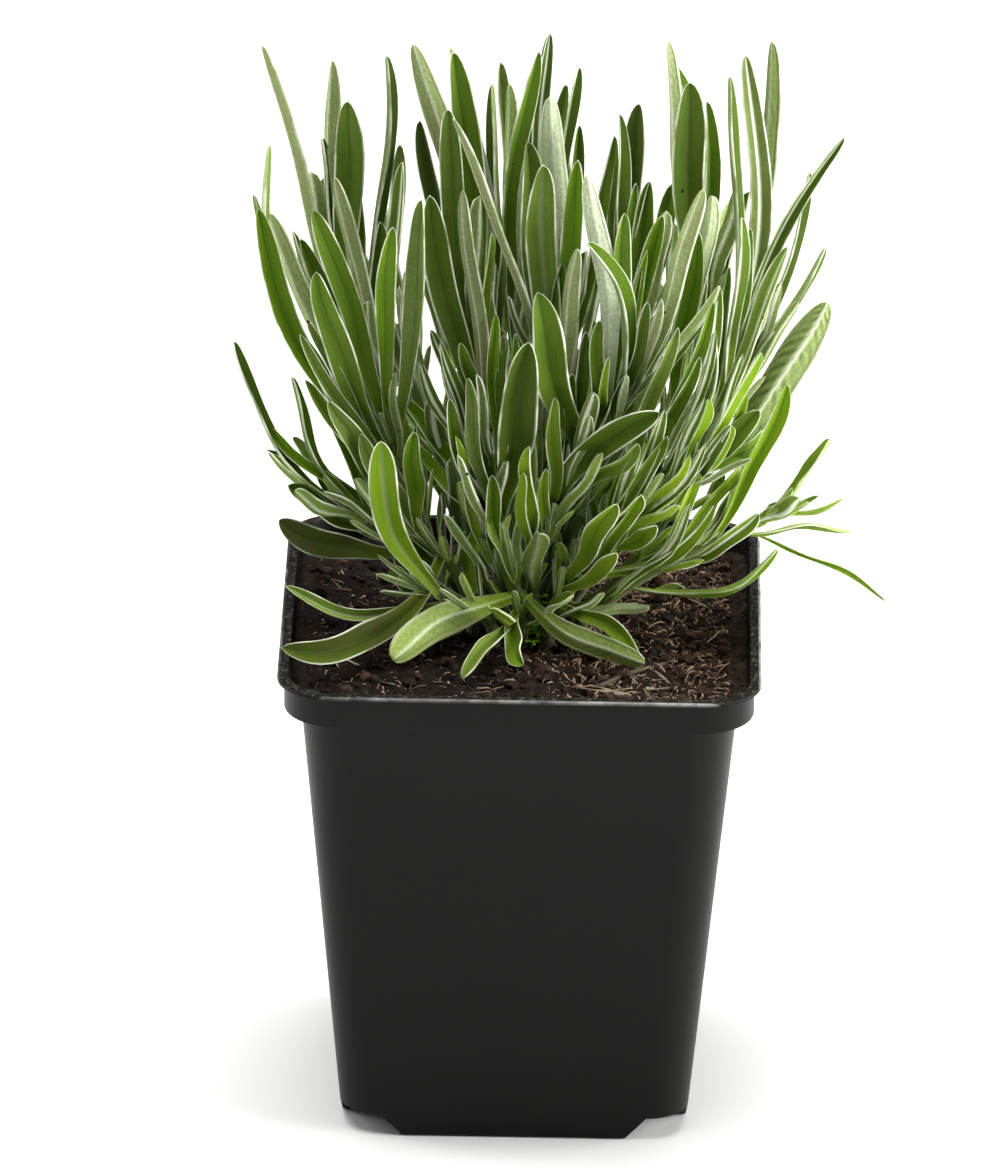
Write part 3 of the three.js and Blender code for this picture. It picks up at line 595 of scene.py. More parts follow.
def pot_hollow(s, gap, bottom, top):
    """The pot's inside, taken in by a gap on all sides."""
    wall, base, collar = s.wall / MM, s.base / MM, s.collar / MM
    body = lambda z: base + (BODY_TOP[0] - base) * z / BODY_TOP[1] - wall - gap
    low, high = COLLAR_STEP
    rings = [(body(bottom), bottom), (body(low), low)]
    rings += [(collar - COLLAR_WALL - gap, high), (collar - LIP_WALL - gap, top)]
    hollow = ring_walk("hollow", rings, INNER_RADIUS, INNER_SEGMENTS)
    cut(hollow, corner_blocks(wall + gap))
    return hollow


class LAVENDER_OT_pot(Operator):
    """Model the square nursery pot: body, collar, lip, raised corners and drain holes"""

    bl_idname = "lavender.pot"
    bl_label = "Nursery pot"

    def execute(self, context):
        s = context.scene.lavender_pot
        lip, collar, base = s.lip / MM, s.collar / MM, s.base / MM
        body = lambda z: base + (BODY_TOP[0] - base) * z / BODY_TOP[1]
        rings = [
            (base - 0.8, 0), (base - 0.35, 0.12), (body(0.4), 0.4), (body(0.9), 0.9), (body(30), 30),
            (body(60), 60), (body(87.4), 87.4), (BODY_TOP[0] + 0.1, 87.85),
            (BODY_TOP[0] + 0.5, BODY_TOP[1]), (collar - 0.5, 88.1), (collar - 0.12, 88.3), (collar, 88.65),
            (collar, 93.3), (collar + 0.15, 93.75), (collar + 0.55, 94.0), (lip - 0.2, 94.08), (lip, 94.3),
            (lip, 94.65), (lip - 0.12, 94.88), (lip - 0.4, POT_HEIGHT),
        ]
        pot = ring_walk("nursery_pot", rings, OUTER_RADIUS, OUTER_SEGMENTS)
        cut(pot, corner_blocks(0))
        cut(pot, pot_hollow(s, 0, s.wall / MM, POT_HEIGHT + 1))
        for radius, at, low, high in DRAINS:
            for x in (at, -at):
                for y in (at, -at):
                    clear_selection()
                    bpy.ops.mesh.primitive_cylinder_add(
                        vertices=DRAIN_SIDES, radius=radius * MM, depth=(high - low) * MM,
                        location=(x * MM, y * MM, (low + high) / 2 * MM),
                    )
                    cut(pot, bpy.context.object)
        finished(pot, "pot_plastic", "pot", material=satin_polypropylene(s), angle=32)
        return {"FINISHED"}


# Compost

# The level of the compost, and how wide the largest crumbs of its surface are.
SOIL_LEVEL, SOIL_CELL = 89.6, 5.4
# The compost starts wider than the pot's inside and is cut to it, with this gap. So many cells run across
# its top.
SOIL_WIDTH, SOIL_GAP, SOIL_CELLS = 86.6, 0.03, 190


# Where the seeded numbers of each kind of leaf and litter start.
SEEDS = {
    "filling": 30000, "tuft": 50000, "added": 200000, "crumb": 70000, "grit": 80000, "fibre": 90000,
    "straw": 95000,
}


def chance(n):
    """One seeded number from 0 to 1 for each n."""
    s = math.sin(n * 12.9898 + 4.1414) * 43758.5453
    return s - math.floor(s)


def sway(n):
    """One seeded number from -1 to 1 for each n."""
    return 2 * chance(n) - 1


def coarse(x, y):
    """How coarse and dry the compost is: 0 at the left, 1 at the right, with a wandering change between."""
    return min(max((x + 7 + 5 * math.sin(0.17 * y + 3.1) + 2 * math.sin(0.5 * y + 0.3 * x)) / 22, 0), 1)


def soil_height(x, y):
    """Height of the compost in millimetres: swells, a mound at the crown, and crumbs as wide as a cell."""
    height = SOIL_LEVEL + 0.5 * math.sin(0.11 * x + 0.7) * math.cos(0.09 * y - 0.4)
    height += 0.35 * math.sin(0.31 * x + 0.23 * y) + 0.9 * math.exp(-(x * x + y * y) / 20.5**2)
    # It is pressed up a little against the walls.
    height += 0.8 * min(max((max(abs(x), abs(y)) - 34) / 7, 0), 1) ** 2
    for cell, strength in ((SOIL_CELL, 0.55), (SOIL_CELL / 2.2, 0.2 + 0.75 * coarse(x, y))):
        column, row = math.floor(x / cell), math.floor(y / cell)
        right, back = x / cell - column, y / cell - row
        for i, share_x in ((0, 1 - right), (1, right)):
            for j, share_y in ((0, 1 - back), (1, back)):
                height += strength * share_x * share_y * sway((column + i) * 131 + (row + j) * 17)
    return height


class LAVENDER_OT_compost(Operator):
    """Model the block of compost that fills the pot, with its crumbly top"""

    bl_idname = "lavender.compost"
    bl_label = "Compost"

    def execute(self, context):
        s = context.scene.lavender_compost
        clear_selection()
        bpy.ops.mesh.primitive_grid_add(
            x_subdivisions=SOIL_CELLS, y_subdivisions=SOIL_CELLS, size=SOIL_WIDTH * MM
        )
        soil = bpy.context.object
        soil.name = "compost_block"
        for vertex in soil.data.vertices:
            vertex.co.z = soil_height(vertex.co.x / MM, vertex.co.y / MM) * MM
        # Lumps of 6 mm, crumbs and grains: each texture moves the surface by its strength about the middle.
        reliefs = (("CLOUDS", 6.0, 1.4), ("VORONOI", s.crumb / MM * 1.5, 1.5), ("CLOUDS", 0.9, 1.1))
        for kind, size, strength in reliefs:
            texture = bpy.data.textures.new("compost relief", kind)
            texture.noise_scale = size * MM
            modify(
                soil, "DISPLACE", texture=texture, strength=strength * MM, mid_level=0.5, direction="Z",
                texture_coords="LOCAL",
            )
        choose(soil)
        bpy.ops.object.mode_set(mode="EDIT")
        pick(lambda e: e.is_boundary, "edges")
        bpy.ops.mesh.extrude_region_move(TRANSFORM_OT_translate={"value": (0, 0, -SOIL_LEVEL * MM)})
        bpy.ops.transform.resize(value=(1, 1, 0), center_override=(0, 0, 0))
        bpy.ops.mesh.edge_face_add()
        bpy.ops.mesh.select_all(action="SELECT")
        bpy.ops.mesh.normals_make_consistent(inside=False)
        bpy.ops.object.mode_set(mode="OBJECT")
        pot = context.scene.lavender_pot
        cut(soil, pot_hollow(pot, SOIL_GAP, pot.wall / MM + SOIL_GAP, POT_HEIGHT), "INTERSECT")
        finished(soil, "compost", "soil", material=moist_peat(s), angle=60)
        return {"FINISHED"}


# Plant

# Each shoot: its name, the foot, knee and top of its stem in millimetres, how many leaf pairs the rule adds,
# their length and how many degrees they open to, then the leaves listed for the imported plant, and those that
# only the looks have:
#   (place on the stem from 0 to 1, tip x, y, z, width, bow, face, tone)
# bow: how far the middle bulges to the right of the line from root to tip
# face: which way the upper side looks, 0 to the front, 90 to the left, 180 to the back
# tone: how olive with age, and above 1 how wilted; how grey with hairs; how light it is painted, for its own
# tone
#   and as painted light and shade; how lime; and how pale the stripe on its midrib, and above 1 how ribbed its
#   underside
Shoot = namedtuple("Shoot", "name foot knee top pairs size wide listed added")
# Painted shade: two of these tones are green and old leaves painted darker, as leaves in the plant's shade.
FRESH, GREEN, OLD = (0.05, 0.0, 0.92, 0, 0), (0.45, 0.12, 1.06, 0, 0), (0.85, 0.05, 1.02, 0, 0)
GREEN_IN_SHADE, SHADED, LIME = (0.45, 0.0, 0.72, 0, 0), (1.0, 0.0, 0.55, 0, 0), (0.0, 0.05, 1.1, 0.5, 0)
GREY, PALE, SILVER = (0.4, 0.75, 0.86, 0, 0), (0.1, 1.0, 1.18, 0, 0), (0.0, 1.4, 1.05, 0, 0)
STRIPED = (0.55, 0.05, 0.8, 0.05, 1.0)
SHOOTS = (
    Shoot("front_crown", (0, -7), (0, -7.5, 95), (-1, -6.5, 102.5), 2, 17, 50, [
        (0.84, -23.8, -18, 91.4, 6.6, 1.6, 180, (0.15, 0.9, 1.25, 0.05, 0.2)),
        (0.5, -10.7, -26, 91.2, 3, 0.5, 30, GREY), (0.62, 0.6, -19, 91.2, 3.6, 2, 10, FRESH),
        (0.92, 23.2, -17.6, 91.4, 4.8, 1.8, 180, (0.4, 0.6, 0.75, 0.05, 0.2)),
        (1, -6, -10, 118, 3.4, -0.5, 30, PALE),
    ], []),
    Shoot("front_left_low", (-5, -8), (-6, -8, 98), (-15, -8, 100.5), 1, 12, 50, [
        (0.8, -44, -12, 103.5, 2.4, -4.6, 20, (0.25, 0.8, 1.1, 0.1, 0.3)),
        (1, -26, -14, 134, 5.6, -3.8, 0, (0.4, 0.1, 1.15, 0.1, 0.1)),
    ], []),
    Shoot("front_right", (5, -7), (5, -7, 97), (9, -6, 104), 2, 18, 50, [
        (0.6, 22.4, -16.4, 91.6, 3.4, -1.5, 20, (0.35, 0.2, 1.4, 0.4, 0)),
        (0.7, 24, -4, 97, 2.2, 2, 180, SILVER), (1, 36, -9, 120, 3.4, 4.5, 60, GREEN),
        (0.9, 18, -16, 123, 4.2, -0.5, 10, FRESH), (0.8, 18, -16, 113, 3.2, 0.8, 20, LIME),
    ], []),
    Shoot("left_droop", (-9, -4), (-10, -4, 104), (-19, -3, 110), 2, 20, 40, [
        (0.74, -44.3, -26.6, 97.2, 5.4, -8, 10, (1.18, 0.15, 0.85, 0, 0)),
        (0.92, -30, -8, 133, 3.4, -1, 0, GREY), (1, -20, -9, 134, 3.8, -1, 10, GREEN),
    ], [
        (0.9, -40.6, -5, 142.6, 2.8, -1, 20, OLD),
    ]),
    Shoot("front_mid", (-4, -3.5), (-4, -4, 104), (-5, -5, 120), 3, 28, 30, [
        (0.82, 1.5, -10, 153, 7, 0.5, 5, (1.05, 0.08, 0.98, 0, 0)),
        (1, -11, -3, 181, 3.2, -0.6, 150, (0.4, 0.75, 0.55, 0, 0)),
    ], [
        (0.7, -9.8, -9, 145.1, 2.8, 0, -20, GREY), (0.4, -13.5, -9, 140.8, 3.2, -1, 30, OLD),
        (0.9, -4.7, -3, 156.1, 2.4, 0, 10, FRESH), (0.7, -1.1, -3, 152.0, 2.4, 0, 20, GREEN_IN_SHADE),
        (0.3, -12.2, -10, 133.7, 2, -1, 30, LIME), (0.35, -5.4, -10, 125.9, 3, 0, 10, GREEN_IN_SHADE),
        (0.5, -7.5, -6, 135.5, 3, 0.5, 10, GREEN_IN_SHADE),
    ]),
    Shoot("front_right_up", (1, -2.5), (2, -3, 104), (8, -5, 120), 3, 26, 32, [
        (0.8, 26, -12, 140, 5.4, -4.6, 10, (0.75, 0.1, 0.95, 0, 0)), (1, 22, -13, 134, 3.2, 1.5, 30, GREEN),
    ], [
        (0.7, 6.2, -8, 141.0, 3, 0, 20, OLD), (0.4, 1.7, -12, 132.7, 2.8, -0.5, -30, LIME),
        (0.45, 4.7, -12, 128.2, 2.2, 0, 20, GREEN_IN_SHADE), (0.3, 0.6, -12, 127.4, 2.4, 0, -30, LIME),
        (0.8, 9.6, -4, 144.4, 2.8, 0.5, 20, GREEN_IN_SHADE), (0.9, 12.1, -2, 152.2, 2.8, 0, 20, OLD),
    ]),
    Shoot("right_mid", (6, -2.5), (10, -3, 106), (30, -5, 124), 3, 20, 34, [
        (0.84, 35, -10, 142, 3.2, 1.5, 60, LIME), (0.92, 39.5, -8, 136, 3.4, 1.5, 60, LIME),
        (0.5, 22.5, -14, 124, 3.4, 0.8, 20, FRESH), (0.58, 25.5, -12, 117, 3.4, 1, 20, GREEN),
        (0.66, 36, -8, 155, 3.2, 6.3, 75, GREEN), (1, 46, 4, 130, 3.2, 1, 20, GREEN),
        (0.76, 45, -6, 150, 3, 2.5, 60, LIME),
    ], [
        (0.7, 36.1, -8, 161.0, 2.8, 1, 20, GREEN), (0.66, 33.5, -9, 150.2, 2.6, 1, 20, OLD),
        (0.5, 29.5, -8, 155.7, 2.8, 0.5, 20, GREY), (0.8, 36.5, -8, 155.1, 2, 1.5, 30, STRIPED),
        (0.75, 34.4, -10, 142.3, 2.2, 1.5, 20, STRIPED), (0.9, 39.1, -8, 136.1, 2.8, 1.5, 20, STRIPED),
        (0.4, 26.9, -12, 140.5, 2.8, 1, 20, STRIPED), (0.3, 27.5, -12, 135.2, 3, 1, 20, GREEN_IN_SHADE),
        (0.35, 22.0, -12, 133.3, 2.4, 1, 20, STRIPED), (0.3, 22.6, -13, 123.9, 2.4, 1, 20, GREEN),
        (0.55, 31.6, -12, 131.5, 2, 2, 20, LIME), (0.45, 34.6, -11, 133.5, 1.9, 2, 20, STRIPED),
    ]),
    Shoot("right_low", (10, -4), (20, -5, 104), (44, 2, 112), 1, 12, 35, [
        (0.8, 50, 2, 140.5, 3.4, 1.7, 20, (0.1, 0, 1.0, 0, 0)),
        (1, 58, 2, 129.5, 3, 1.8, -60, (0.3, 0.4, 1.0, 0.1, 0)), (0.97, 60.5, 8, 115, 1.1, 0, 30, PALE),
        (0.9, 62, -1, 112, 1.1, -1, 60, PALE), (0.94, 68.5, -6, 100, 1.2, -2, 40, (0.1, 0.6, 1.1, 0.2, 0)),
        (0.4, 48, -9, 111.5, 2.1, 5, 70, (0.2, 0, 1.0, 0.1, 0)),
        (0.6, 44.5, -5, 117, 3.2, 1.5, 30, STRIPED), (0.7, 45.2, 3, 131, 2.8, 2, 30, STRIPED),
        (0.5, 38, 6, 121, 3, 1.5, 20, GREY),
    ], [
        (0.5, 46.7, 6, 130.8, 2.2, 1, 30, LIME), (0.74, 43.8, 4, 126.0, 2.2, 1.5, 40, SILVER),
        (0.6, 42.5, 2, 122.1, 2, 1.5, 40, PALE), (0.3, 33.5, -8, 126.1, 2.6, 2, 20, LIME),
        (0.2, 31.6, -10, 120.8, 2.2, 2, 20, STRIPED),
    ]),
    Shoot("far_left_low", (-12.5, -0.5), (-15, -3, 103), (-29, -1, 112), 2, 16, 35, [
        (0.95, -54.3, 2, 147.5, 2.8, -5.4, 60, OLD), (0.86, -44, 0, 119, 4.2, -1.3, 20, OLD),
        (0.72, -45.5, -5, 114, 5.2, -3, -10, (1.16, 0.0, 0.58, 0, 0)),
        (0.78, -48, 9, 122, 2.6, -2.5, 80, GREEN), (1, -43.4, 3, 140, 2.4, -2.5, 60, GREEN_IN_SHADE),
        (0.62, -36, 0, 135, 3.8, -2, 20, GREEN),
    ], [
        (0.5, -48.3, 2, 125.4, 1.3, 3, 20, GREEN_IN_SHADE), (0.8, -43.4, 6, 126.4, 2.6, 0, 20, GREY),
        (0.95, -48.7, 2, 130.5, 2.2, 0, 20, FRESH),
    ]),
    Shoot("left_main", (-8, 1), (-20, 3, 106), (-26, 2, 133), 2, 24, 22, [
        (0.72, -49.6, 0, 175.5, 4.4, -5, 15, FRESH), (0.66, -47.6, 2, 188, 3.6, -10, 70, PALE),
        (0.8, -48, 7, 172, 4, -2, 150, PALE), (0.86, -39, -3, 176.5, 4.5, 0.5, 10, (0.2, 0, 0.82, 0, 0)),
        (0.94, -35.3, 3, 181, 3.6, 0, 150, GREY), (0.76, -38.3, -6, 165, 5.1, -2.3, -10, GREEN),
        (0.9, -24, -5, 174, 3.8, -1.8, 20, FRESH),
        (1, -22.4, 4, 184, 3.2, 0, -30, (0.3, 0.4, 0.95, 0, 1.0)),
        (0.84, -18.6, -3, 179, 4, 0.7, -20, GREY), (0.6, -41, -2, 150, 3, -2, 30, GREY),
        (0.52, -36, -9, 140, 4, -1, 0, GREY),
    ], [
        (0.92, -34.2, 5, 174.5, 3, 0.5, 150, GREY), (0.7, -41.9, 6, 167.2, 3.6, -1, 20, OLD),
        (0.66, -50.9, 6, 176.2, 2.6, -5, 60, GREEN_IN_SHADE), (0.5, -40.2, -4, 154.6, 2.4, -0.5, 0, GREY),
        (0.4, -41.5, -5, 151.8, 2.6, -1, 20, GREY), (0.56, -32.0, 6, 154.9, 2.6, 0, 40, OLD),
        (0.5, -28.4, 5, 144.7, 2.4, 0.5, 30, LIME),
    ]),
    Shoot("centre_left", (-3.5, 1), (-5, 3, 112), (-9.5, 6, 145), 4, 34, 24, [
        (0.7, -17.3, 2, 178, 5.2, -1, 0, OLD), (0.84, -19.4, 10, 190.5, 3.6, -0.5, -30, SHADED),
        (0.78, -14, 7, 194, 4.8, -0.5, 0, OLD), (0.92, -13.2, 12, 204, 5.2, 1.4, 5, (0.35, 0, 0.9, 0, 0)),
        (1, -21, 14, 205, 4.8, 2.5, 170, GREY),
    ], [
        (0.5, -22.6, 8, 133.7, 3.2, -1, 30, FRESH), (0.4, -23.3, 4, 128.8, 2.8, -1, 30, LIME),
        (0.6, -17.1, 0, 151.3, 2.6, -0.5, 20, STRIPED), (0.5, -19.2, -1, 145.0, 2.4, -1, 20, STRIPED),
        (0.92, -14.1, 15, 204.0, 3, 4, 30, SILVER), (0.8, -5.6, 2, 170.5, 1.8, 0, 40, LIME),
        (0.76, -3.6, 2, 168.9, 1.8, 0.5, 40, GREY), (0.62, -11.5, -4, 150.2, 2.8, 0.5, 20, GREEN),
        (0.55, -15.2, -4, 150.2, 2.6, -0.5, 20, STRIPED), (0.6, -8.8, 4, 163.5, 2.8, 0, 40, GREEN_IN_SHADE),
    ]),
    Shoot("centre", (1.5, 2), (2, 2, 112), (5.5, 4, 137), 3, 34, 20, [
        (0.86, 4.1, 1, 185, 5.8, -0.3, 0, (0.5, 0.2, 0.95, 0, 0.12)),
        (0.94, 1.1, 6, 188, 4.8, -0.3, 15, OLD), (0.78, 10.7, 0, 186.5, 4, 0.8, -20, FRESH),
        (1, 5.3, 8, 196.5, 5.2, 0.8, 170, SILVER), (0.7, 10.7, -6, 170.5, 3.6, 0, 160, GREY),
        (0.82, -12.8, -4, 196, 3.2, 2.8, 110, GREY),
    ], [
        (0.9, 10.9, 7, 191.2, 3, 0.5, 20, GREEN_IN_SHADE), (0.95, 17.5, 12, 187.3, 2.6, 1, 40, GREEN_IN_SHADE),
        (0.7, 7.7, 0, 165.2, 3, 0, 20, GREEN_IN_SHADE), (0.6, 3.4, -2, 158.3, 2.8, 0, 160, GREY),
    ]),
    Shoot("centre_right", (5.5, 2), (8, 0, 112), (18.8, -2, 136), 3, 26, 26, [
        (0.7, 3.2, -12, 164, 6.2, -1.2, 0, (0.5, 0.1, 0.92, 0, 0)),
        (0.84, 12.4, -4, 185, 4, 2, 170, (0.0, 1.4, 0.98, 0, 0)),
        (0.92, 12.4, -8, 172.5, 4.2, 5.2, 60, (0.3, 0, 0.8, 0, 0)), (1, 34.2, -3, 182, 4, 0.5, 150, GREY),
        (0.8, 37.2, -6, 163.5, 3.8, 0, 80, GREEN),
    ], [
        (0.9, 19.4, -2, 176.5, 3.8, -0.5, 10, GREEN), (0.7, 14.7, -5, 155.7, 3.2, -0.5, 20, GREEN_IN_SHADE),
        (0.66, 16.4, -7, 149.0, 1.8, 0, 20, LIME), (0.8, 23.7, -5, 159.6, 2.6, 0.5, 20, OLD),
    ]),
    Shoot("right", (10, 1), (26, 1, 106), (40, 5, 137), 2, 26, 24, [
        (1, 39.3, 12, 200, 3.2, 0.5, 60, (0.6, 0.1, 0.75, 0, 1.0)),
        (0.94, 42.3, 10, 205, 4.4, 3.7, 15, (0.7, 0.5, 0.75, 0, 1.0)),
        (0.97, 47.4, 12, 207.5, 3.8, 1.5, 150, (0.4, 0.15, 0.56, 0.1, 0)),
        (0.88, 61, 8, 189, 2.6, -4, 20, (0.8, 0, 0.8, 0, 1.0)),
        (0.84, 54.5, 12, 180.5, 3, 2, 60, (1.0, 0, 0.72, 0, 0)), (0.8, 57.3, 4, 168, 3.2, 0, 70, OLD),
        (0.76, 50.2, 0, 169.5, 3.2, 0, -30, (0.1, 0.6, 1.1, 0.1, 1.0)),
        (0.9, 41.4, -2, 176, 4, 0.5, 60, STRIPED),
        (0.68, 57.7, 2, 157.5, 6.8, 2.3, 180, (0.3, 0.6, 0.92, 0, 1.6)),
    ], [
        (0.88, 43.1, 2, 172.5, 2.6, 0, 30, GREEN), (0.7, 39.0, 2, 164.4, 2.8, 0, 20, STRIPED),
        (0.6, 37.1, -6, 163.4, 3, 0.5, 30, STRIPED), (0.5, 42.5, -4, 141.0, 2, 1, 30, LIME),
        (0.55, 41.6, -2, 148.1, 1.8, 1, 40, STRIPED),
    ]),
    Shoot("left_back", (-9, 5), (-26, 8, 108), (-34, 14, 150), 2, 26, 20, [
        (0.84, -49.6, 14, 204, 3.6, -0.5, 110, (0.2, 0.9, 1.2, 0, 0)),
        (1, -36.3, 16, 200.5, 3.4, -1, 150, (0.4, 0.75, 1.0, 0, 0)),
        (0.94, -33.3, 12, 193.5, 5.6, 0, 0, (0.5, 0.15, 1.0, 0, 0)), (0.9, -26, 15, 202, 3.6, 2.3, 70, OLD),
        (0.76, -27, 10, 169.5, 3.4, 0, 30, OLD), (0.68, -23.4, 12, 185, 3.6, 0, 30, GREY),
    ], [
        (0.9, -33.4, 17, 191.9, 3.6, 0.5, 10, FRESH), (0.86, -38.3, 15, 184.8, 3, -0.5, 60, GREEN_IN_SHADE),
        (0.6, -43.6, 8, 168.2, 2.2, -1, 60, GREEN_IN_SHADE),
    ]),
    Shoot("centre_back", (-1, 6), (-1, 9, 112), (-1.3, 13, 145), 3, 34, 22, [
        (1, -4.3, 18, 200, 3.2, 0, 30, GREY), (0.9, -5.6, 12, 197.5, 3.2, -0.5, -60, OLD),
        (0.86, -2.6, 14, 197, 3.2, 0, 150, GREEN),
        (0.8, 3.2, 10, 205, 3.8, -3.2, 40, (0.4, 0.0, 0.88, 0, 0)),
        (0.94, 5.2, 14, 207.5, 3.2, 0.5, 15, (0.8, 0.0, 0.8, 0, 1.0)),
        (0.97, 10.7, 16, 200, 3.2, 1, 60, GREEN_IN_SHADE), (0.83, 8.3, 20, 195, 3.6, 0, 0, OLD),
    ], [
        (0.93, 5.1, 16, 206.6, 3, 0, -20, STRIPED), (0.8, 2.8, 15, 192.4, 3.2, -0.5, 20, GREY),
        (0.7, -0.7, 11, 187.7, 3, 0, 150, GREY),
    ]),
    Shoot("right_mid_back", (4, 6.5), (8, 7, 112), (21, 8, 146), 3, 30, 24, [
        (0.92, 18.4, 10, 192.5, 3, 0.6, 40, OLD), (0.8, 17.5, 14, 186.5, 3, -0.5, 40, OLD),
        (1, 22.2, 12, 194, 4.6, -1.5, -20, (0.9, 0.05, 0.75, 0, 0)), (0.86, 24.2, 4, 181, 4.2, 0, 10, GREEN_IN_SHADE),
        (0.76, 26.7, 0, 175.5, 3.8, 0, -10, FRESH),
    ], [
        (0.7, 21.5, 8, 179.0, 2.6, -0.5, 30, GREEN_IN_SHADE), (0.8, 24.1, 4, 180.7, 2.6, -1, 30, STRIPED),
        (0.62, 23.7, 0, 168.3, 1.9, 0, 30, LIME), (0.58, 22.6, 0, 165.2, 1.8, 0.5, 30, STRIPED),
    ]),
    Shoot("right_back", (8.5, 5.5), (20, 7, 108), (34.5, 11, 149), 3, 28, 22, [
        (1, 27.6, 14, 206.5, 3.2, -1, 150, PALE), (0.9, 28, 18, 201, 3.8, 6, 50, GREEN_IN_SHADE),
        (0.95, 31.8, 8, 200, 6.2, 0, 0, (0.75, 0.05, 1.0, 0, 0)), (0.84, 36, 0, 179.5, 3.8, 0, 170, SILVER),
        (0.78, 33.5, 0, 172, 3.8, 0, 0, FRESH),
    ], [
        (0.93, 35.0, 15, 193.6, 3.2, 1.5, 30, GREEN_IN_SHADE),
    ]),
    Shoot("back_left", (-6, 9.5), (-13, 12, 110), (-22, 17, 138), 5, 34, 32, [], []),
    Shoot("back_mid_left", (-1, 10.5), (-4, 15, 112), (-7, 22, 144), 5, 34, 32, [], []),
    Shoot("back_mid_right", (4, 11), (7, 15, 112), (10, 20, 146), 5, 34, 32, [], []),
    Shoot("back_right", (8.5, 10), (17, 12, 108), (26, 17, 140), 5, 32, 32, [], []),
)
# How deep a stem stands in the compost, how far it rises above before it follows its curve, and its radius at
# its foot and top.
SUNK, RISE = 9.0, 3.0
STEM_FOOT, STEM_TOP = 1.25, 0.75
# For each millimetre above the lip the plant narrows by this share, and leans to the left by this much.
TAPER, LEAN = 0.00017, 0.014
# Higher up it gets deeper from front to back: by up to this share, from this height and over so many more.
DEEPER, DEEPER_FROM, DEEPER_OVER = 0.75, 102, 63
# A stem whose top is higher than this stands upright. The lower ones lean out over the pot.
UPRIGHT = 118
# The photograph looks down on the plant by this slope, and this way points to its camera.
FRONT_SLOPE = 0.42
TO_FRONT = np.array((0, -0.92, 0.39))
# What a leaf tried where it had no room: a listed one moved back or forward and up, in millimetres, and one
# of the rule turned round its stem and tilted, in degrees, and grew shorter.
SHIFTS = (0, 3, -3, 6, -6, 9, -9, 12, -12, 15, -15)
LIFTS = (0, 1.2, 2.5, 4, 6)
TURNS = (0, 16, -16, 32, -32, 48, -48, 64, -64)
TILTS = (0, -9, 9, -18)
SCALES = (1, 0.82, 0.66)
# The rule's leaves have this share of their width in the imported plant. The leaves that fill a stem turn by
# this angle from one to the next.
RULE_WIDTH = 0.82
GOLDEN_ANGLE = 137.5
# A leaf's tip lies this near, in millimetres, to a corner of its CAD node. This many leaves have one.
TIP_MATCH = 0.06
PACKED_LEAVES = 225


# How a leaf is laid: its curve, width, where its upper side looks, its seed, how far it is turned about its
# curve and how much further from root to tip, in radians, and its tone.
Blade = namedtuple("Blade", "curve width facing seed turn twist tone", defaults=(0, 0, None))
UP = np.array((0.0, 0, 1))


def placed(x, y, z):
    """A point of the plant, with its lean, taper and spread."""
    above = z - POT_HEIGHT
    scale = 1 - TAPER * above
    back = y * DEEPER * min(max((z - DEEPER_FROM) / DEEPER_OVER, 0), 1)
    return np.array((x * scale - LEAN * above, y + back, POT_HEIGHT + above * scale - FRONT_SLOPE * back))


def unit(v):
    return v / np.linalg.norm(v)


def turned(v, axis, angle):
    """A vector turned about an axis of length 1."""
    along = axis * (axis @ v) * (1 - math.cos(angle))
    return v * math.cos(angle) + np.cross(axis, v) * math.sin(angle) + along


def stem_curve(shoot):
    """The start, middle point and end of a stem's curve."""
    return np.array((*shoot.foot, SOIL_LEVEL + RISE)), placed(*shoot.knee), placed(*shoot.top)


def on_curve(curve, t):
    """The place on a curve at t, from 0 to 1."""
    a, b, c = curve
    return (1 - t) ** 2 * a + 2 * t * (1 - t) * b + t * t * c


def direction(curve, t):
    """The way that a curve runs at t."""
    a, b, c = curve
    return unit(2 * (1 - t) * (b - a) + 2 * t * (c - b))


def listed_ways(shoot, seed, row):
    """The ways in which a listed leaf may stand: its own, then moved back or forward, then lifted."""
    at, x, y, z, width, bow, face, tone = row
    root = on_curve(stem_curve(shoot), at)
    line = unit(np.array((x - root[0], 0, z - root[2])))
    for lift in LIFTS:
        for shift in SHIFTS:
            tip = placed(x, y + shift, z - FRONT_SLOPE * shift + lift)
            middle = (root + tip) / 2 + np.array((line[2], 0, -line[0])) * 2 * bow
            middle += (0, 2.5 * sway(seed + 1), lift / 2)
            curve, twist = (root, middle, tip), 0.5 * sway(seed + 2)
            yield Blade(curve, width, TO_FRONT, seed, math.radians(face), twist, tone)


def way_out(axis, degrees):
    """The way out from a stem, so many degrees round its axis from the left."""
    return turned(unit(np.cross((0, -1, 0), axis)), axis, math.radians(degrees))


def risen(root, axis, out, degrees, size, ahead, rise, reach=0.5):
    """The curve of a leaf that opens from its stem and then rises, and the way that its upper side looks."""
    opened = math.radians(degrees)
    start = axis * math.cos(opened) + out * math.sin(opened)
    middle = root + start * size * 0.5
    tip = middle + unit(start * ahead + (0, 0, rise)) * size * reach
    return (root, middle, tip), axis * math.sin(opened) - out * math.cos(opened)


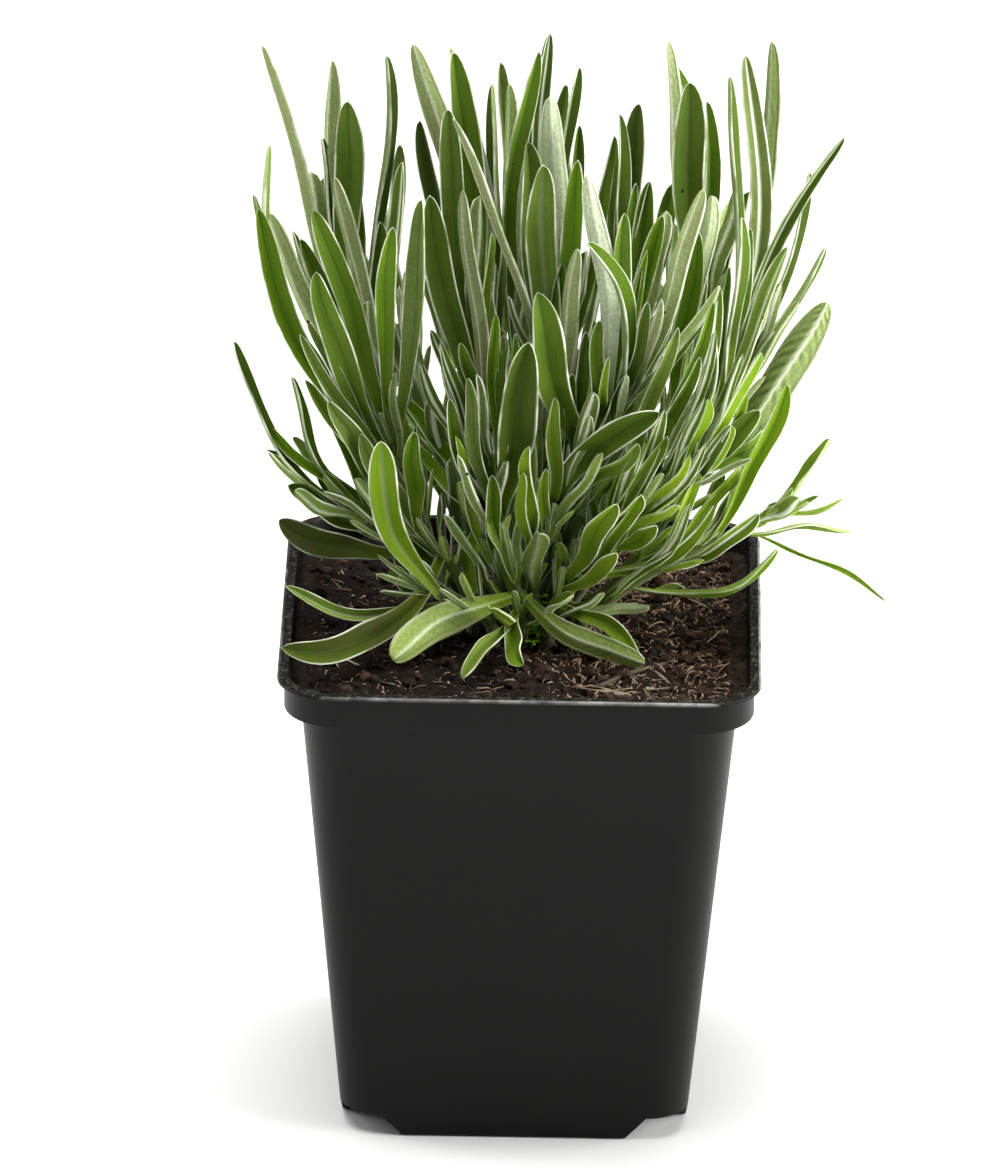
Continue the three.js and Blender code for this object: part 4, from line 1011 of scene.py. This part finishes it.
def rule_ways(shoot, seed, pair, hand):
    """The ways in which a leaf of the rule may stand. Pairs cross each other up the stem."""
    stem = stem_curve(shoot)
    high = pair / (shoot.pairs - 1) if shoot.pairs > 1 else 1
    at = 0.2 + 0.78 * high
    root, axis = on_curve(stem, at), direction(stem, at)
    azimuth = 40 + 90 * pair + 180 * hand + 22 * sway(seed + 3)
    opening = shoot.wide * (1.25 - 0.8 * high) + 6 * sway(seed + 4)
    size = shoot.size * (0.78 + 0.5 * high * (1.35 - high)) * (1 + 0.14 * sway(seed + 5))
    rise = 0.4 + 0.15 * sway(seed + 6)
    width = 3.6 + 0.9 * sway(seed + 7) + 0.02 * size
    turn, twist = 0.5 * sway(seed + 8), 0.6 * sway(seed + 9)
    low = root[2] < 116
    tones = (GREEN_IN_SHADE, GREEN, LIME, OLD, FRESH, STRIPED) if low else (GREEN, STRIPED, GREEN_IN_SHADE, GREY, OLD, STRIPED)
    tone = tones[int(6 * chance(seed + 24))]
    for scale in SCALES:
        for tilt in TILTS:
            for more in TURNS:
                out = way_out(axis, azimuth + more)
                curve, facing = risen(root, axis, out, opening + tilt, size * scale, 0.72, rise, 0.52)
                yield Blade(curve, width, facing, seed, turn, twist, tone)


def as_packed(ways, corners):
    """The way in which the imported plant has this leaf, or None where it found no room."""
    for leaf in ways:
        if ((corners - leaf.curve[2]) ** 2).sum(axis=1).min() < TIP_MATCH**2:
            return leaf
    return None


def packed_leaves(owner, shoot, corners):
    """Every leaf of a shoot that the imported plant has: the listed ones, then the rule's."""
    for i, row in enumerate(shoot.listed):
        leaf = as_packed(listed_ways(shoot, owner * 1000 + i * 10, row), corners)
        if leaf:
            yield leaf, True
    for pair in reversed(range(shoot.pairs)):
        for hand in (0, 1):
            seed = owner * 1000 + 500 + pair * 20 + hand * 10
            leaf = as_packed(rule_ways(shoot, seed, pair, hand), corners)
            if leaf:
                yield leaf, False


def added_leaves(owner, shoot):
    """The leaves that only the looks have, each as it is listed."""
    for i, row in enumerate(shoot.added):
        yield next(listed_ways(shoot, SEEDS["added"] + owner * 1000 + i * 10, row))


def filling_leaves(owner, shoot, count):
    """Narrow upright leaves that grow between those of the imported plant, on stems that stand upright."""
    if shoot.top[2] < UPRIGHT:
        return
    stem = stem_curve(shoot)
    for i in range(count):
        seed = SEEDS["filling"] + owner * 200 + i * 10
        at = 0.4 + 0.58 * (i + chance(seed)) / count
        root, axis = on_curve(stem, at), direction(stem, at)
        out = way_out(axis, GOLDEN_ANGLE * i + 50 * owner)
        size, width = 21 + 5 * sway(seed + 2), 2.2 + 0.5 * sway(seed + 3)
        curve, facing = risen(root, axis, out, 20 + 9 * sway(seed + 1), size, 0.85, 0.3)
        tone = (OLD, PALE, STRIPED, GREEN, GREY)[int(5 * chance(seed + 6))]
        yield Blade(curve, width, facing, seed, 0.5 * sway(seed + 4), 0.8 * sway(seed + 5), tone)


def tuft_leaves(owner, shoot, tufts):
    """Small leaves that crowd where a pair grows, and round the tip of the stem."""
    stem = stem_curve(shoot)
    tufts = tufts if shoot.top[2] > UPRIGHT else 1
    for tuft in range(tufts + 1):
        at_tip = tuft == tufts
        at = 1.0 if at_tip else 0.3 + 0.6 * (tuft + chance(owner * 31 + tuft)) / tufts
        root, axis = on_curve(stem, at), direction(stem, at)
        tones = (FRESH, GREEN, GREY, GREEN_IN_SHADE, OLD) if root[2] > 120 else (FRESH, GREEN, LIME, GREEN_IN_SHADE, LIME)
        for i, tone in enumerate(tones):
            seed = SEEDS["tuft"] + owner * 400 + tuft * 60 + i * 10
            out = way_out(axis, 72 * i + 40 * sway(seed))
            opening = (16 if at_tip else 30) + 10 * sway(seed + 1)
            size, width = 11 + 4 * sway(seed + 2), 1.6 + 0.4 * sway(seed + 3)
            curve, facing = risen(root, axis, out, opening, size, 0.8, 0.3)
            yield Blade(curve, width, facing, seed, 0.4 * sway(seed + 4), 0.3 * sway(seed + 5), tone)


def blade_width(t):
    """Width along a blade that is 1 wide: narrow at the root, widest past the middle, with a blunt tip."""
    grown = min(t / 0.58, 1)
    rise = 0.36 + 0.64 * grown * grown * (3 - 2 * grown)
    end = max(t - 0.58, 0) / 0.42
    return max(rise * max(1 - end**3.6, 0) ** 0.52, 0.02)


# How thick a blade 1 wide is.
BLADE_DEPTH = 0.12
# Across a blade, from the midrib at 0 to the edge at 1: how high it stands over the groove, in blade widths.
SECTION = {0: 0.0, 0.12: 0.012, 0.45: 0.06, 0.6: 0.085, 0.78: 0.115, 0.86: 0.13, 0.9: 0.135, 1: 0.1}
# Models of a leaf: the columns of its half, from the midrib to the edge, and its rows.
BROAD = (0, 0.12, 0.45, 0.78, 0.9, 1), 18
PLAIN = (0, 0.45, 0.86, 1), 10
TINY = (0, 0.6, 1), 6
SPROUT = (0, 0.6, 1), 4


def model_leaf(half, along):
    """One leaf, 1 wide and 1 long on +Y, its upper side up: a grid whose columns are moved to the places in
    half, mirrored, and raised into a groove with rolled edges. It is extruded down to its thickness, and its
    rows are then drawn in to the blade's outline."""
    clear_selection()
    across = 2 * len(half) - 2
    bpy.ops.mesh.primitive_grid_add(x_subdivisions=across, y_subdivisions=along, size=1)
    leaf = bpy.context.object
    leaf.name = "leaf"
    bpy.ops.object.mode_set(mode="EDIT")
    columns = across + 1
    for column in range(columns):
        even = 2 * column / across - 1
        place = half[abs(column - across // 2)]
        pick(lambda v: v.index % columns == column)
        bpy.ops.transform.translate(value=((math.copysign(place, even) - even) / 2, 0, SECTION[place]))
    upper = columns * (along + 1)
    bpy.ops.mesh.select_all(action="SELECT")
    bpy.ops.mesh.extrude_region_move(TRANSFORM_OT_translate={"value": (0, 0, -BLADE_DEPTH)})
    bpy.ops.transform.resize(value=(0.9, 1, 1), center_override=(0, 0, 0))
    bpy.ops.mesh.select_all(action="SELECT")
    bpy.ops.mesh.normals_make_consistent(inside=False)
    # From the tip down, so that no row that has moved lies where one is still to be picked.
    for row in reversed(range(along + 1)):
        even = row / along
        t = 1 - (1 - even) ** 1.5
        wide = blade_width(t)
        pick(lambda v: abs(v.co.y - even + 0.5) < 0.3 / along)
        bpy.ops.transform.resize(value=(wide, 1, wide**0.5), center_override=(0, 0, 0))
        bpy.ops.transform.translate(value=(0, t - (even - 0.5), 0))
    bpy.ops.object.mode_set(mode="OBJECT")
    give(leaf, "under", [float(i >= upper) for i in range(len(leaf.data.vertices))])
    return leaf


def give(obj, name, values, kind="FLOAT", field="value"):
    """Gives each vertex of a piece a value that its material reads."""
    obj.data.attributes.new(name, kind, "POINT").data.foreach_set(field, values)


def read_places(obj):
    places = np.empty(len(obj.data.vertices) * 3)
    obj.data.vertices.foreach_get("co", places)
    return places.reshape(-1, 3)


def copy_of(model, places, tone):
    """A copy of a model piece with its own mesh, its vertices moved to new places in metres, and its tone. A
    fifth value is how pale its midrib is."""
    obj = bpy.data.objects.new(model.name, model.data.copy())
    bpy.context.collection.objects.link(obj)
    obj.data.vertices.foreach_set("co", np.asarray(places, dtype=np.float32).ravel())
    give(obj, "tone", np.tile(tone[:4], len(places)).astype(np.float32), "FLOAT_COLOR", "color")
    for stripe in tone[4:]:
        give(obj, "striped", [stripe] * len(places))
    obj.data.update()
    return obj


def laid(model, places, leaf, height, tone, wave=0.0):
    """A copy of a model that is 1 long on +Y, laid along a curve: x goes to the side, z to the upper side."""
    a, b, c = leaf.curve
    t = np.clip(places[:, 1], 0, 1)[:, None]
    point = on_curve((a, b, c), t)
    along = 2 * (1 - t) * (b - a) + 2 * t * (c - b)
    along /= np.linalg.norm(along, axis=1)[:, None]
    up = leaf.facing - along * (along @ leaf.facing)[:, None]
    up /= np.linalg.norm(up, axis=1)[:, None]
    angle = leaf.turn + leaf.twist * (t - 0.5)
    up = up * np.cos(angle) + np.cross(along, up) * np.sin(angle)
    side = np.cross(along, up)
    past = (places[:, 1:2] - t) * np.linalg.norm(c - a)
    seed, across = leaf.seed, places[:, 0:1]
    # The blade wavers from side to side and up and down, folds along its midrib, and its edges ripple.
    waver = wave * np.sin(math.pi * t) * np.sin(math.tau * t + 6 * chance(seed + 31))
    nod = wave * np.sin(math.pi * t) * np.sin(math.tau * t + 6 * chance(seed + 32))
    ripple = 0.5 * wave * np.sin(math.tau * (t * 2.2 + chance(seed))) * across
    fold = (0.1 + 0.6 * chance(seed + 33)) * leaf.width * np.abs(across)
    breadth = leaf.width * across * (1 + 0.1 * np.sin(9 * t + 6 * chance(seed + 34) + 2 * np.sign(across)))
    above = places[:, 2:3] * height + ripple + fold + nod
    moved = point + along * past + side * (breadth + waver) + up * above
    return copy_of(model, moved * MM, tone)


def model_stem():
    """A stem 1 long on +Z and 1 in radius: a cylinder cut into rings, with the four soft ridges of a lavender
    stem."""
    clear_selection()
    bpy.ops.mesh.primitive_cylinder_add(vertices=12, radius=1, depth=1, location=(0, 0, 0.5))
    stem = bpy.context.object
    stem.name = "stem"
    bpy.ops.object.transform_apply(location=True, rotation=False, scale=False)
    bpy.ops.object.mode_set(mode="EDIT")
    pick(lambda e: abs(e.verts[0].co.z - e.verts[1].co.z) > 0.5, "edges")
    bpy.ops.mesh.subdivide(number_cuts=29)
    pick(lambda v: round(math.degrees(math.atan2(v.co.y, v.co.x))) % 90 == 0)
    bpy.ops.transform.resize(value=(1.1, 1.1, 1), center_override=(0, 0, 0))
    bpy.ops.object.mode_set(mode="OBJECT")
    give(stem, "along", [v.co.z for v in stem.data.vertices])
    return stem


def grown_stem(model, places, shoot, owner):
    """A copy of the model stem that rises straight through the compost and then follows its shoot's curve."""
    curve = stem_curve(shoot)
    moved = []
    for x, y, z in places:
        u = (z - 0.2) / 0.8
        radius = STEM_FOOT + (STEM_TOP - STEM_FOOT) * z
        # It swells a little where leaves grow, about five times up its length.
        radius *= 1 + 0.1 * max(math.sin(30 * z + owner), 0) ** 4
        if u <= 0:
            point = curve[0] + np.array((0, 0, (u / 0.25) * (SUNK + RISE)))
            axis = np.array((0, 0, 1.0))
        else:
            point, axis = on_curve(curve, u), direction(curve, u)
            axis = unit(axis + np.array((0, 0, 1.0)) * max(0.1 - u, 0) * 10)
        side = unit(np.cross((0, 1, 0), axis))
        front = np.cross(side, axis)
        moved.append(point + side * x * radius + front * y * -radius)
    return copy_of(model, np.array(moved) * MM, (0.5, 0.5, 1.0, 0))


def leaf_tone(leaf):
    """A leaf's tone, a little different on each."""
    olive, bloom, light, lime, stripe = leaf.tone
    seed, root = leaf.seed, leaf.curve[0]
    # Painted light: leaves at the right of the plant are painted brighter. They are more lime where they leave
    # the crown.
    light *= (1 + 0.1 * sway(seed + 23)) * (1.27 if root[0] > 14 else 1.05)
    lime += 0.3 if root[2] < 112 and root[0] > -4 else 0
    # They are greyer in the upper half of the plant.
    bloom = max(bloom + 0.13 * min(max((root[2] - 118) / 12, -1), 1), 0)
    bloom *= 0.85 + 0.15 * sway(seed + 22)
    return max(min(olive + 0.12 * chance(seed + 21), 1), olive), bloom, light, lime, stripe


class LAVENDER_OT_shoots(Operator):
    """Model the leafy stems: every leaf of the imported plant, and small leaves between them"""

    bl_idname = "lavender.shoots"
    bl_label = "Leafy stems"

    def execute(self, context):
        s = context.scene.lavender_leaf
        leaf_finish, stem_finish = lavender_leaf(s), lavender_stem(s)
        broad, plain, tiny = model_leaf(*BROAD), model_leaf(*PLAIN), model_leaf(*TINY)
        stem = model_stem()
        for model in (broad, plain, tiny):
            model.data.materials.append(leaf_finish)
        stem.data.materials.append(stem_finish)
        places = {model.name: read_places(model) for model in (broad, plain, tiny, stem)}
        full = s.thickness / MM / BLADE_DEPTH
        total = 0
        for owner, shoot in enumerate(SHOOTS):
            node = "shoot_" + shoot.name
            corners = read_places(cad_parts[node]) / MM
            copies = [grown_stem(stem, places[stem.name], shoot, owner)]
            # The last number of each kind of leaf is how far it wavers, in millimetres.
            for leaf, listed in packed_leaves(owner, shoot, corners):
                model = broad if listed else plain
                if not listed:
                    leaf = leaf._replace(width=leaf.width * RULE_WIDTH)
                height = full * (0.6 + 0.1 * leaf.width)
                copies.append(laid(model, places[model.name], leaf, height, leaf_tone(leaf), 0.7))
                total += 1
            for leaf in added_leaves(owner, shoot):
                model = broad if leaf.width > 2.5 else plain
                height = full * (0.6 + 0.1 * leaf.width)
                copies.append(laid(model, places[model.name], leaf, height, leaf_tone(leaf), 0.8))
            for leaf in filling_leaves(owner, shoot, s.fillings):
                copies.append(laid(plain, places[plain.name], leaf, full * 0.85, leaf_tone(leaf), 0.5))
            for leaf in tuft_leaves(owner, shoot, s.tufts):
                copies.append(laid(tiny, places[tiny.name], leaf, full * 0.6, leaf_tone(leaf)))
            finished(joined("leaves_" + shoot.name, copies), "leaves", node)
        remove(broad, plain, tiny, stem)
        if total != PACKED_LEAVES:
            raise RuntimeError(f"{total} leaves of the packed plant were found instead of {PACKED_LEAVES}")
        return {"FINISHED"}


# Litter


def compost_top():
    """A function that gives the finished top of the compost at a place, all in millimetres."""
    tree = BVHTree.FromObject(bpy.data.objects["compost_block"], bpy.context.evaluated_depsgraph_get())

    def ground(x, y):
        place = tree.ray_cast(Vector((x * MM, y * MM, 0.2)), Vector((0, 0, -1)))[0]
        if place is None:
            raise RuntimeError(f"no compost under {x:.1f}, {y:.1f}")
        return np.array(place) / MM

    return ground


def model_crumb(name):
    """A crumb 1 across: a cube cut once, cast into a ball and made lumpy."""
    clear_selection()
    bpy.ops.mesh.primitive_cube_add(size=1)
    crumb = bpy.context.object
    crumb.name = name
    bpy.ops.object.mode_set(mode="EDIT")
    bpy.ops.mesh.subdivide(number_cuts=1)
    bpy.ops.object.mode_set(mode="OBJECT")
    modify(crumb, "CAST", cast_type="SPHERE", factor=0.8)
    texture = bpy.data.textures.new("lumps", "CLOUDS")
    texture.noise_scale = 0.45
    modify(crumb, "DISPLACE", texture=texture, strength=0.7, mid_level=0.5)
    return crumb


def model_strand(name, sides, rings):
    """A strand 1 thick and 1 long on +Y, thinner at its ends: a cylinder laid down and cut into rings."""
    clear_selection()
    bpy.ops.mesh.primitive_cylinder_add(vertices=sides, radius=0.5, depth=1)
    strand = bpy.context.object
    strand.name = name
    bpy.ops.object.mode_set(mode="EDIT")
    pick(lambda e: abs(e.verts[0].co.z - e.verts[1].co.z) > 0.5, "edges")
    bpy.ops.mesh.subdivide(number_cuts=rings)
    for end in (-0.5, 0.5):
        pick(lambda v: abs(v.co.z - end) < 0.01)
        bpy.ops.transform.resize(value=(0.35, 0.35, 1), center_override=(0, 0, end))
    bpy.ops.object.mode_set(mode="OBJECT")
    strand.data.transform(Matrix.Rotation(-math.pi / 2, 4, "X") @ Matrix.Translation((0, 0, 0.5)))
    return strand


def dropped(model, places, spot, size, flat, seed, tone):
    """A copy of a crumb at a spot on the compost, turned at random and sunk in a little."""
    turn = Euler((6.3 * chance(seed + 1), 6.3 * chance(seed + 2), 6.3 * chance(seed + 3))).to_matrix()
    lumps = places @ np.array(turn).T * (size, size * (0.7 + 0.3 * chance(seed + 4)), size * flat)
    return copy_of(model, (spot + lumps + (0, 0, 0.18 * size)) * MM, tone)


def strewn(model, places, start, end, width, lift, seed, tone, flat=1.0):
    """A copy of a strand that lies from one spot on the compost to another, its middle bowed and bent up."""
    a, c = start + (0, 0, 0.3 * width), end + (0, 0, 0.3 * width)
    reach = c - a
    middle = (a + c) / 2 + np.array((-reach[1], reach[0], 0)) * 0.11 * sway(seed + 5) + (0, 0, lift)
    return laid(model, places, Blade((a, middle, c), width, UP, seed, 0, 2), width * flat, tone, 0.07)


# The open compost is a square whose corners are round, in millimetres.
OPEN_HALF, OPEN_RADIUS = 39.2, 7.4


def kept_in(x, y):
    """The nearest place on the open compost."""
    core = OPEN_HALF - OPEN_RADIUS
    near = min(max(x, -core), core), min(max(y, -core), core)
    away = math.hypot(x - near[0], y - near[1])
    share = min(1, OPEN_RADIUS / away) if away else 1
    return near[0] + (x - near[0]) * share, near[1] + (y - near[1]) * share


# A leaf lies on the compost here, from x, y to x, y in millimetres.
LYING_LEAF = ((9, -9.5), (23.5, -17))
# Crumbs under it are no larger than this.
UNDER_LEAF = 0.7


def under_leaf(x, y):
    """Whether a place on the compost is within 3 mm of the middle of the lying leaf."""
    (ax, ay), (bx, by) = LYING_LEAF
    along = ((x - ax) * (bx - ax) + (y - ay) * (by - ay)) / ((bx - ax) ** 2 + (by - ay) ** 2)
    t = min(max(along, 0), 1)
    return math.hypot(x - ax - t * (bx - ax), y - ay - t * (by - ay)) < 3


# Places for grit.
GRITS = 60


def draw(kind, which, i):
    """One of the seeded numbers, from 0 to 1, of a piece of litter."""
    return chance(i + SEEDS[kind] + 1000 * which)


def open_spots(kind, count):
    """Seeded places on the compost, in millimetres, more of them at the right, where it is coarser."""
    seed = SEEDS[kind]
    for i in range(count):
        x, y = OPEN_HALF * sway(seed + 3 * i), OPEN_HALF * sway(seed + 3 * i + 1)
        if chance(seed + 3 * i + 2) < 0.3 + 0.7 * coarse(x, y):
            yield i, kept_in(x, y)


# Straw and twig, in millimetres: from x, y to x, y, and how thick.
STRAWS = (
    ((10.5, -27.4), (20.8, -29.2), 1.0), ((13.6, -25.8), (19.2, -28.2), 0.6),
    ((20.3, -21.8), (24.8, -29.8), 0.45), ((16.5, -28.8), (25.5, -26), 0.5),
    ((12, -29), (17.5, -26.4), 0.4), ((19, -28.6), (30.5, -25.4), 0.35), ((33, -6), (37.5, 4), 0.3),
    ((-36, -12), (-30, -17), 0.4), ((22, 14), (31, 8), 0.35), ((35.5, 12), (29, 17), 0.4),
    ((-33, 8), (-27.5, 2.5), 0.4), ((-21, -27.5), (-27, -24), 0.4), ((24, -18), (27.8, -23), 0.5),
    ((-25, 22), (-15, 30), 0.5), ((8, 31), (16, 26), 0.6), ((30, 30), (24, 35), 0.4),
    ((-8, 36), (2, 33), 0.5),
)
TWIG = ((27.5, -13), (14.5, -26), 0.95)


class LAVENDER_OT_litter(Operator):
    """Strew crumbs, peat fibres, straw, a twig and grit over the compost"""

    bl_idname = "lavender.litter"
    bl_label = "Litter"

    def execute(self, context):
        s = context.scene.lavender_compost
        crumb = model_crumb("crumb")
        fibre, strand = model_strand("fibre", 4, 5), model_strand("strand", 8, 14)
        places = {model.name: read_places(model) for model in (crumb, fibre, strand)}
        ground = compost_top()
        crumbs, grains, fibres, straws = [], [], [], []
        for i, (x, y) in open_spots("crumb", s.crumbs):
            size = s.crumb / MM * (0.35 + 1.1 * draw("crumb", 1, i) ** 2.2)
            if under_leaf(x, y):
                size = min(size, UNDER_LEAF)
            flat = 0.5 + 0.4 * draw("crumb", 2, i)
            tone = (draw("crumb", 3, i) ** (3.2 - 2.1 * coarse(x, y)), 0, 0, 0)
            crumbs.append(dropped(crumb, places["crumb"], ground(x, y), size, flat, 9 * i, tone))
        for i, spot in open_spots("grit", GRITS):
            size, tone = 0.22 + 0.4 * draw("grit", 1, i) ** 2, (chance(i), 0, 0, 0)
            grains.append(dropped(crumb, places["crumb"], ground(*spot), size, 0.8, 9 * i + 5, tone))
        for i, (x, y) in open_spots("fibre", s.fibres):
            angle, far = math.tau * draw("fibre", 1, i), 0.7 + 3.0 * draw("fibre", 2, i) ** 2.5
            start = ground(x, y)
            end = ground(*kept_in(x + far * math.cos(angle), y + far * math.sin(angle)))
            width, lift = 0.16 + 0.36 * draw("fibre", 3, i) ** 2.2, 0.1 + 0.6 * draw("fibre", 4, i)
            tone = (draw("fibre", 5, i) ** (3.0 - 2.4 * coarse(x, y)), 0, 0, 0)
            fibres.append(strewn(fibre, places["fibre"], start, end, width, lift, i, tone, 0.7))
        for i, (start, end, width) in enumerate(STRAWS):
            ends = ground(*start), ground(*end)
            tone = (0.25 + 0.75 * draw("straw", 1, i), 0, 0, 0)
            straws.append(strewn(strand, places["strand"], *ends, width, 0.5, 40 + i, tone, 0.4))
        start, end, width = TWIG
        ends = ground(*start), ground(*end)
        twig = strewn(strand, places["strand"], *ends, width, 0.9, 60, (0.15, 0, 0, 0))
        peat = dry_fibre("dry peat fibre", s.dark, scaled(s.fibre, 3.0), 0.85)
        bark = dry_fibre("twig bark", scaled(s.fibre, 0.5), scaled(s.pale, 0.7), 0.8)
        finished(joined("compost_crumbs", crumbs), "compost", material=moist_peat(s), angle=50)
        finished(joined("peat_fibres", fibres), "compost", material=peat)
        finished(joined("grit", grains), "compost", material=perlite(s), angle=40)
        finished(joined("straw", straws), "compost", material=dry_fibre("dry straw", s.fibre, s.pale, 0.6))
        finished(joined("twig", [twig]), "compost", material=bark)
        remove(crumb, fibre, strand)
        return {"FINISHED"}


# How many seedlings sprout, round which x, y, how far from it on each side, and how thick their stalks are.
SEEDLINGS, SPROUTS, SPREAD, STALK = 80, (6.0, -1.5), 7, 0.25
# The dropped leaf lies from x, y to x, y in millimetres.
DROPPED = ((24.3, 22.0), (30.7, 18.0))


class LAVENDER_OT_seedlings(Operator):
    """Model the seedlings that sprout at the crown, and the leaf that has dropped on the compost"""

    bl_idname = "lavender.seedlings"
    bl_label = "Seedlings and dropped leaf"

    def execute(self, context):
        s = context.scene.lavender_leaf
        leaf, stalk = model_leaf(*SPROUT), model_strand("stalk", 4, 2)
        places, stalks = read_places(leaf), read_places(stalk)
        ground = compost_top()
        parts = []
        for i in range(SEEDLINGS):
            seed = 600 + 12 * i
            foot = ground(SPROUTS[0] + SPREAD * sway(seed), SPROUTS[1] + SPREAD * sway(seed + 1))
            head = foot + (0.8 * sway(seed + 2), 0.8 * sway(seed + 3), 0.8 + 5 * chance(seed + 4) ** 1.6)
            part = Blade((foot, (foot + head) / 2, head), STALK, TO_FRONT, seed)
            parts.append(laid(stalk, stalks, part, STALK, (0, 0, 1, 0)))
            count = 3 + i % 2
            for j in range(count):
                angle = math.tau * j / count + 3 * chance(seed + 5)
                size = 1 + 0.7 * chance(seed + 6 + j)
                out = np.array((math.cos(angle), math.sin(angle), 0.35 * sway(seed + j))) * size
                curve = (head, head + out * 0.5 + (0, 0, 0.15), head + out)
                parts.append(laid(leaf, places, Blade(curve, 0.62 * size, UP, seed + j), 1.2, (0, 0, 1, 0)))
        finished(joined("seedlings", parts), "leaves", material=seedling_leaf(s))
        broad = model_leaf(*BROAD)
        start, end = (ground(*spot) + (0, 0, 0.5) for spot in DROPPED)
        fallen = Blade((start, (start + end) / 2 + (0, 0, 0.7), end), 3.0, UP, 77, 0.3, 0.5)
        copies = [laid(broad, read_places(broad), fallen, 3.5, GREEN)]
        finished(joined("dropped_leaf", copies), "leaves", material=bpy.data.materials["lavender leaf"])
        remove(leaf, stalk, broad)
        return {"FINISHED"}


# Stage

# The photograph's camera, in degrees: how far it looks down, is turned and is rolled. The middle of the lip
# is at this height in millimetres and lies so many pixels right of the picture's centre and below it.
LOOKS_DOWN, TURNED, ROLLED = 22.85, 0.47, 0.79
LIP_MIDDLE, PIXELS_RIGHT, PIXELS_BELOW = 95.17, 21.9, 22.0
# The picture's height in pixels and, on the sensor, in millimetres, and the floor's width in metres.
FRAME_HEIGHT, SENSOR = 1168, 36
FLOOR_SIZE = 12
# The lights: name, setting, width and height, and place, in metres, and the place that all are aimed at.
LIGHTS = (
    ("top light", "key", (1.5, 1.2), (-0.1, 0.1, 1.5)),
    ("right light", "right", (1.2, 0.8), (1.3, -0.1, 0.4)),
    ("left light", "left", (0.5, 1.2), (-1.4, 0.4, 0.6)),
)
AIM = Vector((0, 0, 0.1))


class LAVENDER_OT_stage(Operator):
    """Set up the floor, the soft lights and the camera"""

    bl_idname = "lavender.stage"
    bl_label = "Stage"

    def execute(self, context):
        s = context.scene.lavender_stage
        clear_selection()
        bpy.ops.mesh.primitive_plane_add(size=FLOOR_SIZE)
        floor = bpy.context.object
        floor.name = "floor"
        floor.data.materials.append(matt_card(s))
        world = context.scene.world or bpy.data.worlds.new("studio")
        context.scene.world = world
        world.use_nodes = True
        background = world.node_tree.nodes["Background"]
        background.inputs["Color"].default_value = (1.0, 1.0, 1.0, 1.0)
        background.inputs["Strength"].default_value = s.sky
        context.scene.view_settings.view_transform = "Standard"
        for name, setting, size, place in LIGHTS:
            bpy.ops.object.light_add(type="AREA", location=place)
            light = bpy.context.object
            light.name = name
            light.data.shape = "RECTANGLE"
            light.data.size, light.data.size_y = size
            light.data.energy = getattr(s, setting)
            light.rotation_mode = "QUATERNION"
            light.rotation_quaternion = (AIM - Vector(place)).to_track_quat("-Z", "Y")
        self.camera(context, s)
        return {"FINISHED"}

    def camera(self, context, s):
        """The photograph's camera, aimed so that the middle of the lip lies where the photograph has it."""
        down, aside, rolled = (math.radians(angle) for angle in (LOOKS_DOWN, TURNED, ROLLED))
        level = Vector((math.cos(aside), math.sin(aside), 0))
        flat = Vector((-math.sin(aside), math.cos(aside), 0))
        forward = flat * math.cos(down) - Vector((0, 0, math.sin(down)))
        upright = level.cross(forward)
        right = level * math.cos(rolled) + upright * math.sin(rolled)
        up = upright * math.cos(rolled) - level * math.sin(rolled)
        far = s.lens / SENSOR * FRAME_HEIGHT
        ahead = (forward * far - right * PIXELS_RIGHT + up * PIXELS_BELOW).normalized()
        right = ahead.cross(up).normalized()
        up = right.cross(ahead)
        bpy.ops.object.camera_add(location=Vector((0, 0, LIP_MIDDLE * MM)) - forward * s.distance)
        camera = bpy.context.object
        camera.name = "camera"
        camera.rotation_mode = "QUATERNION"
        camera.rotation_quaternion = Matrix((right, up, -ahead)).transposed().to_quaternion()
        camera.data.lens = s.lens
        camera.data.sensor_width = SENSOR
        camera.data.clip_start, camera.data.clip_end = 0.05, 30
        context.scene.camera = camera


class LAVENDER_PT_sidebar(Panel):
    """The steps of the build, in order"""

    bl_idname = "LAVENDER_PT_sidebar"
    bl_label = "Potted lavender"
    bl_space_type = "VIEW_3D"
    bl_region_type = "UI"
    bl_category = "Lavender"

    def draw(self, context):
        for step, settings in STEPS:
            self.layout.operator(step.bl_idname)
            if settings:
                box = self.layout.box()
                group = getattr(context.scene, settings)
                for name in group.bl_rna.properties.keys():
                    if name not in ("rna_type", "name"):
                        box.prop(group, name)


GROUPS = {
    "lavender_pot": PotSettings, "lavender_compost": CompostSettings, "lavender_leaf": LeafSettings,
    "lavender_stage": StageSettings,
}
STEPS = (
    (LAVENDER_OT_pot, "lavender_pot"), (LAVENDER_OT_compost, "lavender_compost"),
    (LAVENDER_OT_litter, None), (LAVENDER_OT_shoots, "lavender_leaf"), (LAVENDER_OT_seedlings, None),
    (LAVENDER_OT_stage, "lavender_stage"),
)


def register():
    for item in (*GROUPS.values(), *(step for step, _ in STEPS), LAVENDER_PT_sidebar):
        bpy.utils.register_class(item)
    for name, group in GROUPS.items():
        setattr(bpy.types.Scene, name, PointerProperty(type=group))


def unregister():
    for name in GROUPS:
        delattr(bpy.types.Scene, name)
    for item in (LAVENDER_PT_sidebar, *(step for step, _ in reversed(STEPS)), *GROUPS.values()):
        bpy.utils.unregister_class(item)


def main():
    register()
    bpy.ops.lavender.pot()
    bpy.ops.lavender.compost()
    bpy.ops.lavender.litter()
    bpy.ops.lavender.shoots()
    bpy.ops.lavender.seedlings()
    bpy.ops.lavender.stage()


if __name__ == "__main__":
    main()
